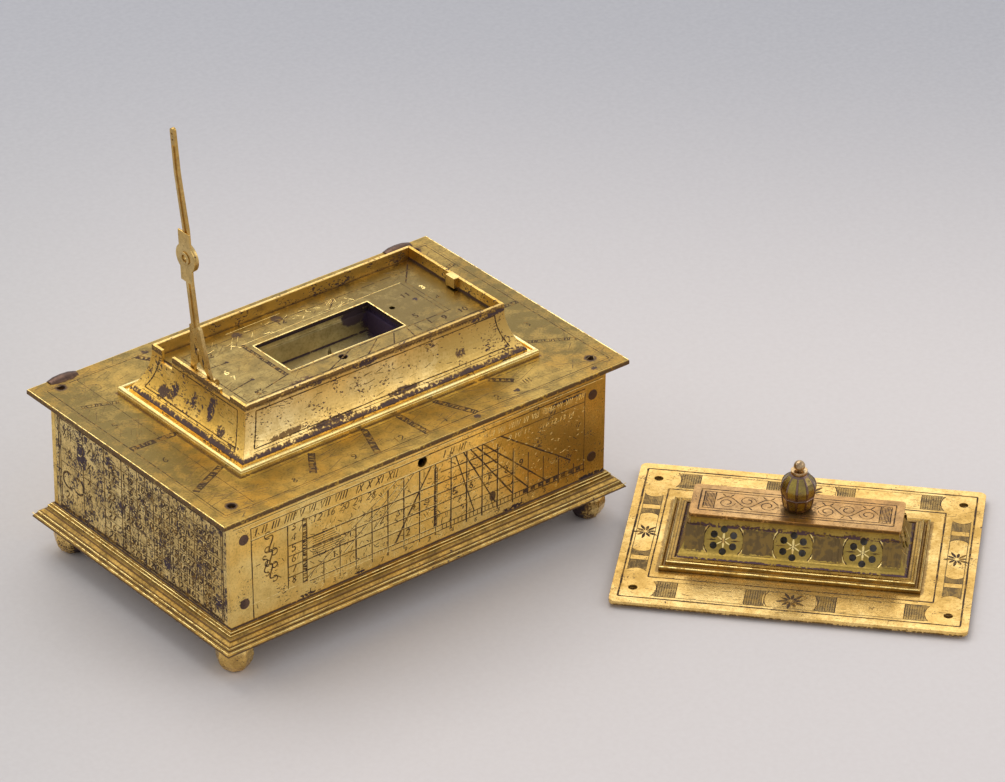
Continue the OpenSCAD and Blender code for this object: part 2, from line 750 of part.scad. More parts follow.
// The turned eyelet that lines the hole of the disc and blade
module disc_eyelet() {
    h = lip_up + blade_t + disc_t;
    color(gold) on_hinge() on_disc() translate([-blade_t / 2 - disc_t - lip_up, 0, 0]) rotate([0, 90, 0]) difference() {
        union() {
            cylinder(d = eyelet_d, h = h, $fn = 40);
            cylinder(d = lip_d, h = lip_up, $fn = 40);
        }
        translate([0, 0, -cut]) cylinder(d = disc_bore, h = h + 2 * cut, $fn = 40);
    }
}

module hinge_pin() {
    color(olive) on_hinge() rotate([90, 0, 0])
        cylinder(d = hinge_d, h = foot_w + 0.3, center = true, $fn = 40);
}

// Puts a piece of the cover, drawn about the plate's centre, where the cover lies
module on_cover() {
    translate([cover_x, cover_y, 0]) rotate([0, 0, cover_turn]) children();
}

module on_casket() {
    on_cover() translate([casket_off_l, casket_off_w, 0]) children();
}

module cover_plate() {
    l = cover_l / 2 - cover_r;
    w = cover_w / 2 - cover_r;
    color(pale) difference() {
        on_cover() translate([0, 0, z_plate]) linear_extrude(cover_t) {
            square([cover_l, 2 * w], center = true);
            square([2 * l, cover_w], center = true);
            corners(l, w) circle(cover_r, $fn = 32);
        }
        on_cover() corners(cover_l / 2 - cover_hole_l, cover_w / 2 - cover_hole_w)
            cylinder(d = cover_hole_d, h = z_cap, $fn = 32);
        on_casket() cube([open_l, open_w, z_cap], center = true);
    }
}

// The lip under the plate, which drops into the tray when the cover is on the box
module cover_lip() {
    l = inner_l - 2 * drop_in;
    w = inner_w - 2 * drop_in;
    color(olive) on_cover() translate([0, 0, lip_h / 2]) difference() {
        cube([l, w, lip_h], center = true);
        cube([l - 2 * lip_t, w - 2 * lip_t, lip_h + 2 * cut], center = true);
    }
}

module cover_moulding(side) {
    o = cover_mould_out;
    h = cover_mould_h;
    color(pale) on_casket() translate([0, 0, z_cover]) at_side(side, foot_l, foot_wid)
        mitred(side_len(side, foot_l, foot_wid), 0, o, h) polygon(concat(
            [[0, 0], [o, 0], [o, 0.2 * h]],
            arc([0.87 * o, 0.33 * h], 0.13 * o, -20, 130, 6),
            [[0.7 * o, 0.36 * h], [0.6 * o, 0.42 * h], [0.58 * o, 0.6 * h]],
            arc([0.45 * o, 0.72 * h], 0.12 * o, -10, 120, 6),
            [[0.25 * o, 0.88 * h], [0.2 * o, h], [0, h]]
        ));
}

// Spread of a casket wall at height v, as a share of its whole spread
function spread(v) = let (f = (casket_h - v) / (casket_h - casket_foot))
    v <= casket_foot ? 1 : (1.25 - sqrt(1.5625 - f * f)) / 0.5;

module casket_wall(side, len, out, slope) {
    levels = [for (i = [0:arc_steps]) casket_h + (casket_foot - casket_h) * i / arc_steps];
    lean = atan(out / (casket_h - casket_foot));
    count = (side == "front" || side == "back") ? 1 : 0;
    mid = count > 0 ? rosette_h : (casket_h + casket_foot) / 2;
    color(olive) on_casket() translate([0, 0, z_cover]) at_side(side, casket_l, casket_w) difference() {
        mitred(len, casket_t + cut, out + cut, casket_h, slope) polygon(concat(
            [for (v = levels) [out * spread(v), v]],
            [[out, 0], [out - casket_t, 0]],
            [for (i = [arc_steps:-1:0]) [out * spread(levels[i]) - casket_t, levels[i]]]
        ));
        for (k = [-count:count]) translate([k * rosette_pitch, out * spread(mid), mid])
            rotate([lean - 90, 0, 0]) for (i = [1:petals]) rotate([0, 0, 360 * i / petals])
                translate([0, petal_r, -3]) cylinder(d = petal_d, h = 6, $fn = 24);
    }
}

module casket_long(side) {
    casket_wall(side, casket_l, long_flare, end_flare / long_flare);
}

module casket_end(side) {
    casket_wall(side, casket_w, end_flare, long_flare / end_flare);
}

module casket_top() {
    l = cap_l / 2 - cap_t;
    w = cap_w / 2 - cap_t;
    color(pale) on_casket() translate([0, 0, z_cap - cap_t]) difference() {
        linear_extrude(cap_t) {
            square([cap_l, 2 * w], center = true);
            square([2 * l, cap_w], center = true);
            corners(l, w) circle(cap_t, $fn = 32);
        }
        translate([0, 0, -cut]) cylinder(d = stud_d + 2 * fit, h = cap_t + 2 * cut, $fn = 32);
    }
}

module finial() {
    h = finial_h;
    levels = [[0, 0.34], [0.14, 0.42], [0.4, 0.47], [0.62, 0.5], [0.82, 0.43], [0.94, 0.3], [1, 0.2]];
    color(dark) on_casket() translate([0, 0, z_cap]) difference() {
        hull() for (s = levels) translate([0, 0, s[0] * (h - 0.02)])
            cylinder(r = s[1] * finial_d, h = 0.02, $fn = finial_sides);
        translate([0, 0, -cut]) cylinder(d = stud_d + 2 * fit, h = stud_in + cut, $fn = 32);
    }
}

module finial_bead() {
    neck = 0.9;
    color(dark) on_casket() translate([0, 0, z_cap + finial_h]) {
        cylinder(d = collar_d, h = neck, $fn = 48);
        translate([0, 0, neck + 0.4 * bead_d]) sphere(d = bead_d, $fn = 48);
    }
}

module finial_stud() {
    over = 0.4;
    h = nut_t + over + cap_t + stud_in;
    color(dark) on_casket() translate([0, 0, z_cap + stud_in - h])
        cylinder(d = stud_d, h = h - fit, $fn = 32);
}

module finial_nut() {
    color(dark) on_casket() translate([0, 0, z_cap - cap_t - nut_t]) difference() {
        translate([-nut_s / 2, -nut_s / 2, 0]) cube([nut_s, nut_s, nut_t]);
        translate([0, 0, -cut]) cylinder(d = stud_d + 2 * fit, h = nut_t + 2 * cut, $fn = 32);
    }
}

base_plate();
base_moulding("front");  // base_moulding_front
base_moulding("back");  // base_moulding_back
base_moulding("left");  // base_moulding_left
base_moulding("right");  // base_moulding_right
ball_foot(-1, -1);  // foot_front_left
ball_foot(1, -1);  // foot_front_right
ball_foot(-1, 1);  // foot_back_left
ball_foot(1, 1);  // foot_back_right
front_panel();
back_panel();
end_panel(-1);  // left_panel
end_panel(1);  // right_panel
corner_posts();
front_pins();
back_pins();
cornice();
top_plate();
lid_knuckles();
tray_wall_long("front");  // tray_wall_front
tray_wall_long("back");  // tray_wall_back
tray_wall_left();
tray_wall_right();
tray_bead("front");  // tray_bead_front
tray_bead("back");  // tray_bead_back
tray_bead("left");  // tray_bead_left
tray_bead("right");  // tray_bead_right
tray_floor();
compass_box();
compass_pivot();
catch_block();
hinge_lug();
gnomon_blade();
sighting_disc();
disc_eyelet();
hinge_pin();
cover_plate();
cover_lip();
cover_moulding("front");  // cover_moulding_front
cover_moulding("back");  // cover_moulding_back
cover_moulding("left");  // cover_moulding_left
cover_moulding("right");  // cover_moulding_right
casket_long("front");  // casket_front
casket_long("back");  // casket_back
casket_end("left");  // casket_left
casket_end("right");  // casket_right
casket_top();
finial();
finial_bead();
finial_stud();
finial_nut();
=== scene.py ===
"""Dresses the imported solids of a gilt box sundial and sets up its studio.

Lengths in the classes are millimetres in the row frame, and `MM` turns them into metres.
"""

import logging
import math
import random
from collections.abc import Callable, Iterable, Sequence
from dataclasses import dataclass, replace
from enum import Enum

import bpy
from mathutils import Matrix, Vector


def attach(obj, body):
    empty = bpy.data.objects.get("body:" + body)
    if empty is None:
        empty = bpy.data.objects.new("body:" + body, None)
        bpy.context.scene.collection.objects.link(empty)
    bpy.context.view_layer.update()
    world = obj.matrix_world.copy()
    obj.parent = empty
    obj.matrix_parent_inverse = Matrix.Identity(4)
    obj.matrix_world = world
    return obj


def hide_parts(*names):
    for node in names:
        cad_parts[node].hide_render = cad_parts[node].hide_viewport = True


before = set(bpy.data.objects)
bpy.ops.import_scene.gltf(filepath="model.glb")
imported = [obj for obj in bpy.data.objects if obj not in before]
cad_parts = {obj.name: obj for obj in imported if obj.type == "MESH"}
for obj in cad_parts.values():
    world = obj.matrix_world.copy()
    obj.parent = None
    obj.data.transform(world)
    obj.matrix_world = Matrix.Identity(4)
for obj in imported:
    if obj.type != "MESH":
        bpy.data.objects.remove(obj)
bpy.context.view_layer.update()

log = logging.getLogger("sundial")

MM = 0.001
Colour = tuple[float, float, float]
Paint = tuple[int, int, int]
Point = tuple[float, float]
Spot = tuple[float, float, float]
SIDES = ("front", "back", "left", "right")


def srgb(red: int, green: int, blue: int) -> Colour:
    """Turns a colour as painters write it, 0 to 255, into the linear values of a node.

    Args:
        red: red, 0 to 255.
        green: green, 0 to 255.
        blue: blue, 0 to 255.

    Returns:
        The linear colour.
    """
    parts = [c / 255 for c in (red, green, blue)]
    return tuple(c / 12.92 if c <= 0.04045 else ((c + 0.055) / 1.055) ** 2.4 for c in parts)


def add_object(name: str, data: bpy.types.ID) -> bpy.types.Object:
    """Makes an object of a mesh, a lamp or a camera and links it into the scene."""
    made = bpy.data.objects.new(name, data)
    bpy.context.scene.collection.objects.link(made)
    return made


# Shader maths


class Value:
    """One float socket of a node tree, used like a number in expressions."""

    def __init__(self, graph: "Graph", socket: bpy.types.NodeSocket) -> None:
        """Wraps a float socket.

        Args:
            graph: the graph that the socket belongs to.
            socket: the output socket that gives the value.
        """
        self.graph = graph
        self.socket = socket

    def maths(self, operation: str, *operands: "Value | float") -> "Value":
        """Adds one Math node.

        Args:
            operation: the node's operation, such as "ADD".
            operands: what goes into its sockets, in order.

        Returns:
            The node's result.
        """
        node = self.graph.node("ShaderNodeMath", {"operation": operation}, dict(enumerate(operands)))
        return Value(self.graph, node.outputs[0])

    def __add__(self, other: "Value | float") -> "Value":
        """Sum."""
        return self.maths("ADD", self, other)

    __radd__ = __add__

    def __sub__(self, other: "Value | float") -> "Value":
        """Difference."""
        return self.maths("SUBTRACT", self, other)

    def __rsub__(self, other: float) -> "Value":
        """Difference with a plain number first."""
        return self.maths("SUBTRACT", other, self)

    def __mul__(self, other: "Value | float") -> "Value":
        """Product."""
        return self.maths("MULTIPLY", self, other)

    __rmul__ = __mul__

    def __abs__(self) -> "Value":
        """Size without its sign."""
        return self.maths("ABSOLUTE", self)

    def at_least(self, other: "Value | float") -> "Value":
        """The larger of two values."""
        return self.maths("MAXIMUM", self, other)

    def at_most(self, other: "Value | float") -> "Value":
        """The smaller of two values."""
        return self.maths("MINIMUM", self, other)

    def rise(self, low: float, high: float) -> "Value":
        """Eases from 0 to 1 as the value goes from low to high.

        Args:
            low: where the result leaves 0.
            high: where it reaches 1.

        Returns:
            The eased share.
        """
        node = self.graph.node(
            "ShaderNodeMapRange",
            {"interpolation_type": "SMOOTHSTEP"},
            {"Value": self, "From Min": low, "From Max": high},
        )
        return Value(self.graph, node.outputs[0])

    def near(self, reach: float) -> "Value":
        """1 where the value is 0, easing to 0 where it is as large as reach."""
        return 1 - abs(self).rise(0, reach)


SEED_STEPS = (7.31, 3.17, 5.59)


class Graph:
    """The node tree of a material or of the world, filled from expressions."""

    def __init__(self, tree: bpy.types.NodeTree) -> None:
        """Starts on an emptied tree.

        Args:
            tree: the node tree to fill.
        """
        self.tree = tree
        tree.nodes.clear()
        self._place = None

    def node(self, kind: str, settings: dict | None = None, inputs: dict | None = None) -> bpy.types.Node:
        """Adds any node.

        Args:
            kind: the node's type name.
            settings: its own settings, set first; "stops" gives a ramp's places and colours.
            inputs: what goes into its sockets by name or index, values, links or numbers.

        Returns:
            The new node.
        """
        made = self.tree.nodes.new(kind)
        for key, setting in (settings or {}).items():
            if key == "stops":
                elements = made.color_ramp.elements
                while len(elements) < len(setting):
                    elements.new(1.0)
                for element, (place, colour) in zip(elements, setting):
                    element.position = place
                    element.color = (*colour, 1.0)
            else:
                setattr(made, key, setting)
        for key, value in (inputs or {}).items():
            socket = made.inputs[key]
            link = value.socket if isinstance(value, Value) else value
            if isinstance(link, bpy.types.NodeSocket):
                self.tree.links.new(link, socket)
            elif socket.type == "RGBA":
                socket.default_value = (*value, 1.0)
            else:
                socket.default_value = value
        return made

    def place(self) -> bpy.types.NodeSocket:
        """The surface point in millimetres, in the row frame at rest."""
        if self._place is None:
            coords = self.node("ShaderNodeTexCoord")
            scaled = self.node(
                "ShaderNodeVectorMath", {"operation": "SCALE"},
                {0: coords.outputs["Object"], "Scale": 1 / MM},
            )
            self._place = scaled.outputs[0]
        return self._place

    def axes(self, point: bpy.types.NodeSocket) -> tuple[Value, Value, Value]:
        """A point's x, y and z as values."""
        parts = self.node("ShaderNodeSeparateXYZ", None, {0: point})
        return tuple(Value(self, out) for out in parts.outputs)

    def vector(self, operation: str, *operands: object) -> bpy.types.Node:
        """Adds one Vector Math node, with what goes into its sockets in order."""
        return self.node("ShaderNodeVectorMath", {"operation": operation}, dict(enumerate(operands)))

    def turned(self, point: bpy.types.NodeSocket, turn: float) -> bpy.types.NodeSocket:
        """A point turned back about the vertical.

        Args:
            point: the point's socket.
            turn: the angle in degrees.

        Returns:
            A vector socket whose x runs along the turned piece.
        """
        inputs = {"Vector": point, "Angle": math.radians(-turn)}
        return self.node("ShaderNodeVectorRotate", {"rotation_type": "Z_AXIS"}, inputs).outputs[0]

    def noise(
        self,
        size: float,
        detail: float = 2.0,
        stretch: Spot = (1, 1, 1),
        seed: float = 0.0,
        turn: float = 0.0,
    ) -> Value:
        """Soft noise around one half.

        Args:
            size: width of its blotches in millimetres.
            detail: how many finer layers it has.
            stretch: how many times longer the blotches are along x, y and z.
            seed: shifts it, so that two noises differ.
            turn: angle about the vertical of the piece that it lies on, in degrees.

        Returns:
            The noise value.
        """
        point = self.turned(self.place(), turn) if turn else self.place()
        factor = tuple(1 / (size * s) for s in stretch)
        shift = tuple(seed * step for step in SEED_STEPS)
        scaled = self.vector("MULTIPLY_ADD", point, factor, shift)
        node = self.node(
            "ShaderNodeTexNoise", None, {"Vector": scaled.outputs[0], "Scale": 1.0, "Detail": detail},
        )
        return Value(self, node.outputs[0])

    def blend(self, share: Value | float, first: object, second: object) -> bpy.types.NodeSocket:
        """Mixes two colours.

        Args:
            share: how much of the second colour shows.
            first: a colour or a colour socket.
            second: a colour or a colour socket.

        Returns:
            The mixed colour's socket.
        """
        node = self.node("ShaderNodeMix", {"data_type": "RGBA"}, {0: share, 6: first, 7: second})
        return node.outputs[2]

    def metal(
        self,
        colour: object,
        roughness: object,
        metallic: object,
        height: Value | None = None,
        depth: float = 0.0,
    ) -> None:
        """Ends the tree in one metal shader.

        Args:
            colour: base colour or its socket.
            roughness: roughness or its value.
            metallic: share of bare metal or its value.
            height: relief for the bump, 0 to 1.
            depth: how deep that relief is in millimetres.
        """
        inputs = {"Base Color": colour, "Roughness": roughness, "Metallic": metallic}
        if height is not None:
            bump = self.node(
                "ShaderNodeBump", None, {"Strength": 1.0, "Distance": depth * MM, "Height": height},
            )
            inputs["Normal"] = bump.outputs[0]
        shader = self.node("ShaderNodeBsdfPrincipled", None, inputs)
        self.node("ShaderNodeOutputMaterial", None, {0: shader.outputs[0]})


def material_graph(name: str) -> tuple[bpy.types.Material, Graph]:
    """Makes an empty material and its graph."""
    material = bpy.data.materials.new(name)
    material.use_nodes = True
    return material, Graph(material.node_tree)


# Finishes


@dataclass(frozen=True)
class Rim:
    """A dark band that follows a rectangle in plan, on one range of heights: grime on some pieces, painted
    shade on others.

    Attributes:
        half: half length and half width of the rectangle.
        reach: how far the grime spreads to both sides of it.
        level: lowest and highest z that it is on.
        centre: middle of the rectangle.
        turn: its angle about the vertical, in degrees.
        share: how dark it gets.
        fray: how ragged its edges are.
    """

    half: Point
    reach: float
    level: Point = (-1.0, 200.0)
    centre: Point = (0.0, 0.0)
    turn: float = 0.0
    share: float = 1.0
    fray: float = 1.0

    def mask(self, graph: Graph) -> Value:
        """1 in the middle of the band, easing to 0 at its reach."""
        place = graph.vector("SUBTRACT", graph.place(), (*self.centre, 0.0)).outputs[0]
        if self.turn:
            place = graph.turned(place, self.turn)
        along, across, height = graph.axes(place)
        outside = (abs(along) - self.half[0]).at_least(abs(across) - self.half[1])
        low, high = self.level
        fade = 0.3
        inside_level = height.rise(low - fade, low) * (1 - height.rise(high, high + fade))
        return outside.near(self.reach) * inside_level


@dataclass(frozen=True)
class Stain:
    """A round or drawn-out dark patch at one place: a real stain on most pieces, painted shade on some.

    Attributes:
        centre: its middle.
        radius: its reach.
        stretch: how many times longer it is along x, y and z.
        share: how dark it gets.
        fray: how ragged its edges are.
    """

    centre: Spot
    radius: float
    stretch: Spot = (1.0, 1.0, 1.0)
    share: float = 1.0
    fray: float = 1.6

    def mask(self, graph: Graph) -> Value:
        """1 in the middle of the patch, easing to 0 at its reach."""
        away = graph.vector("SUBTRACT", graph.place(), self.centre)
        flat = graph.vector("DIVIDE", away.outputs[0], self.stretch)
        length = graph.vector("LENGTH", flat.outputs[0])
        return 1 - Value(graph, length.outputs[1]).rise(self.radius * 0.25, self.radius * 1.15)


@dataclass(frozen=True)
class Gilding:
    """Worn fire gilding on brass, with its tones, scratches, pits, tarnish and grime, and painted shade
    where given.

    Attributes:
        name: the material's name.
        light: colour of the best kept gold.
        deep: colour of the warmer, thinner gold.
        olive: colour of the rubbed gold, also of painted shade.
        brown: colour of shallow pits and of the edges of grime and painted shade.
        dirt: colour of deep pits, thick grime and the darkest painted shade.
        olive_share: how much of the surface is rubbed.
        pits: share of the surface that is pitted, 0 to 1.
        pit_size: width of a pit.
        pit_stretch: how many times longer a pit is along x, y and z.
        tarnish: share of the surface under dark blotches, 0 to 1.
        tarnish_size: width of a blotch.
        scratches: strength of the fine scratches.
        roughness: roughness of clean metal.
        turn: angle of the piece about the vertical, in degrees.
        worn: places darkened to the olive tone, rubbed wear on some pieces and painted shade on others.
        marks: grime, stains and painted shade at known places.
        mark_size: grain of the edges of those marks.
    """

    name: str
    light: Colour = srgb(252, 222, 148)
    deep: Colour = srgb(242, 200, 112)
    olive: Colour = srgb(196, 166, 98)
    brown: Colour = srgb(118, 88, 44)
    dirt: Colour = srgb(56, 42, 46)
    olive_share: float = 0.35
    pits: float = 0.10
    pit_size: float = 0.34
    pit_stretch: Spot = (1.6, 1.0, 1.0)
    tarnish: float = 0.0
    tarnish_size: float = 3.0
    scratches: float = 0.35
    roughness: float = 0.34
    turn: float = 0.0
    worn: tuple[Stain, ...] = ()
    marks: tuple[Rim | Stain, ...] = ()
    mark_size: float = 0.7

    def material(self) -> bpy.types.Material:
        """Builds the material.

        Returns:
            A new material with this finish.
        """
        made, g = material_graph(self.name)
        patches = g.noise(18, detail=3, seed=1)
        haze = g.noise(3.5, detail=5, seed=2)
        grain = g.noise(0.6, detail=3, seed=3)
        colour = g.blend(patches.rise(0.38, 0.62), self.light, self.deep)
        rub_and_shade = haze.rise(0.34, 0.68) * self.olive_share + grain.rise(0.44, 0.70) * 0.35
        # these places darken towards olive: rubbed wear, and painted shade where the light falls off
        for place in self.worn:
            rub_and_shade = rub_and_shade + place.mask(g) * place.share
        colour = g.blend(rub_and_shade.at_most(1.0), colour, self.olive)

        strokes = g.noise(0.24, detail=2, stretch=(50, 1, 30), seed=4, turn=self.turn)
        cross = g.noise(0.28, detail=2, stretch=(1, 40, 30), seed=5, turn=self.turn + 24)
        scratch = strokes.rise(0.58, 0.70).at_least(cross.rise(0.61, 0.72)) * self.scratches
        colour = g.blend(scratch * 0.6, colour, self.olive)

        cluster = g.noise(5, detail=3, seed=6)
        speck = g.noise(self.pit_size, detail=3, stretch=self.pit_stretch, seed=7) + (cluster - 0.5) * 0.7
        level = 0.76 - 0.3 * self.pits
        dark = speck.rise(level, level + 0.12) * 0.85
        if self.tarnish:
            blotch = g.noise(self.tarnish_size, detail=6, stretch=(1, 1, 1.3), seed=8)
            blotch = blotch + (cluster - 0.5) * 0.3
            level = 0.64 - 0.24 * self.tarnish
            dark = dark.at_least(blotch.rise(level, level + 0.12) * 0.85)
        # marks darken to brown and then to the darkest tone: grime and stains, and painted shade on some
        # pieces
        if self.marks:
            ragged = (g.noise(self.mark_size, detail=5, seed=9) - 0.5) * 1.6 + (haze - 0.5) * 1.2
            for mark in self.marks:
                spread = mark.mask(g) * (ragged * mark.fray + 1)
                dark = dark.at_least(spread.rise(0.35, 0.85) * mark.share)
        colour = g.blend(dark.rise(0.05, 0.55), colour, self.brown)
        colour = g.blend(dark.rise(0.50, 0.95), colour, self.dirt)

        roughness = (grain - 0.5) * 0.3 + (haze - 0.5) * 0.2 + self.roughness + dark * 0.25 - scratch * 0.08
        height = grain * 0.5 + haze * 0.3 + scratch * 0.25 - dark * 0.4
        g.metal(colour, roughness, 1 - dark * 0.6, height, 0.05)
        return made


@dataclass(frozen=True)
class CutMetal:
    """Metal or grime in an engraved cut, its lighter stretches partly clean metal and partly painted glint.

    Attributes:
        name: the material's name.
        bright: colour of the cut's lighter stretches, partly clean metal and partly painted glint.
        dull: colour where grime fills it.
        clean: share of the length in the lighter colour, 0 to 1.
        roughness: roughness of the lighter part.
    """

    name: str
    bright: Colour = srgb(134, 102, 50)
    dull: Colour = srgb(74, 54, 36)
    clean: float = 0.35
    roughness: float = 0.5

    def material(self) -> bpy.types.Material:
        """Builds the material."""
        made, g = material_graph(self.name)
        level = 0.66 - 0.32 * self.clean
        shine = g.noise(1.6, detail=3, seed=12).rise(level - 0.05, level + 0.05)
        colour = g.blend(shine, self.dull, self.bright)
        g.metal(colour, (1 - shine) * 0.25 + self.roughness, shine * 0.5 + 0.5)
        return made


GILDED = Gilding("gilded_brass")
TONES = ("light", "deep", "olive", "brown", "dirt")


def gilded(name: str, *paints: Paint, base: Gilding = GILDED, **fields: object) -> Gilding:
    """Varies a gilding for one piece.

    Args:
        name: the material's name.
        paints: its tones in the order of TONES, as far as they differ from the base's.
        base: the finish that it starts from.
        fields: its other fields that differ.

    Returns:
        The new finish.
    """
    tones = {tone: srgb(*paint) for tone, paint in zip(TONES, paints)}
    return replace(base, name=name, **tones, **fields)


DARK_CUT = CutMetal("cut_with_grime")
SHADE_CUT = CutMetal("cut_in_shade", srgb(138, 112, 64), srgb(116, 94, 56), 0.5, 0.45)
# painted glint: pale, smooth metal for cuts coloured as if they caught the light
PAINTED_GLINT_CUT = CutMetal("cut_with_painted_glint", srgb(255, 228, 150), srgb(226, 184, 102), 0.7, 0.26)


# Engraving


Face = Callable[[float, float, float], Vector]


@dataclass(frozen=True)
class FlatFace:
    """A flat face to cut into.

    Attributes:
        origin: the point of the face where u and v are 0.
        along: direction of u.
        up: direction of v.
    """

    origin: Spot
    along: Spot
    up: Spot

    def __call__(self, u: float, v: float, lift: float) -> Vector:
        """The point at u, v, raised off the face by lift."""
        along, up = Vector(self.along), Vector(self.up)
        return Vector(self.origin) + along * u + up * v + along.cross(up) * lift


class Cut(Enum):
    """How a cut looks."""

    DARK = "dark"
    SHADE = "shade"
    # painted glint: a cut coloured pale as if it caught the light
    BRIGHT = "bright"


CUT_FINISH = {Cut.DARK: DARK_CUT, Cut.SHADE: SHADE_CUT, Cut.BRIGHT: PAINTED_GLINT_CUT}


GLYPHS: dict[str, list[list[Point]]] = {
    "0": [[(0.3, 0), (0.06, 0.2), (0, 0.5), (0.06, 0.8), (0.3, 1), (0.54, 0.8), (0.6, 0.5),
           (0.54, 0.2), (0.3, 0)]],
    "1": [[(0.12, 0.8), (0.3, 1), (0.3, 0)]],
    "2": [[(0.02, 0.8), (0.16, 0.97), (0.42, 0.98), (0.57, 0.78), (0.48, 0.52), (0, 0), (0.6, 0.02)]],
    "3": [[(0.03, 0.9), (0.3, 1), (0.55, 0.8), (0.22, 0.54), (0.52, 0.42), (0.58, 0.2), (0.33, 0),
           (0.02, 0.1)]],
    "4": [[(0.45, 0), (0.45, 1), (0, 0.32), (0.6, 0.32)]],
    "5": [[(0.55, 1), (0.1, 1), (0.07, 0.58), (0.36, 0.62), (0.58, 0.38), (0.5, 0.1), (0.25, 0),
           (0, 0.08)]],
    "6": [[(0.5, 0.97), (0.2, 0.8), (0.02, 0.4), (0.1, 0.08), (0.35, 0), (0.57, 0.2), (0.5, 0.45),
           (0.25, 0.5)]],
    "7": [[(0, 1), (0.6, 1), (0.2, 0)]],
    "8": [[(0.3, 0.54), (0.08, 0.75), (0.3, 1), (0.52, 0.75), (0.3, 0.54), (0.02, 0.25), (0.3, 0),
           (0.58, 0.25), (0.3, 0.54)]],
    "9": [[(0.1, 0.03), (0.4, 0.2), (0.57, 0.6), (0.5, 0.92), (0.25, 1), (0.02, 0.8), (0.1, 0.55),
           (0.35, 0.5)]],
    "I": [[(0.16, 0), (0.16, 1)]],
    "V": [[(0, 1), (0.28, 0), (0.56, 1)]],
    "X": [[(0, 1), (0.58, 0)], [(0.58, 1), (0, 0)]],
}
GLYPH_WIDTH = {"I": 0.42, "V": 0.72, "X": 0.74, " ": 0.6}


def each(work: Callable[..., object], *rows: tuple) -> None:
    """Does a piece of work once for each row of what it takes."""
    for row in rows:
        work(*row)


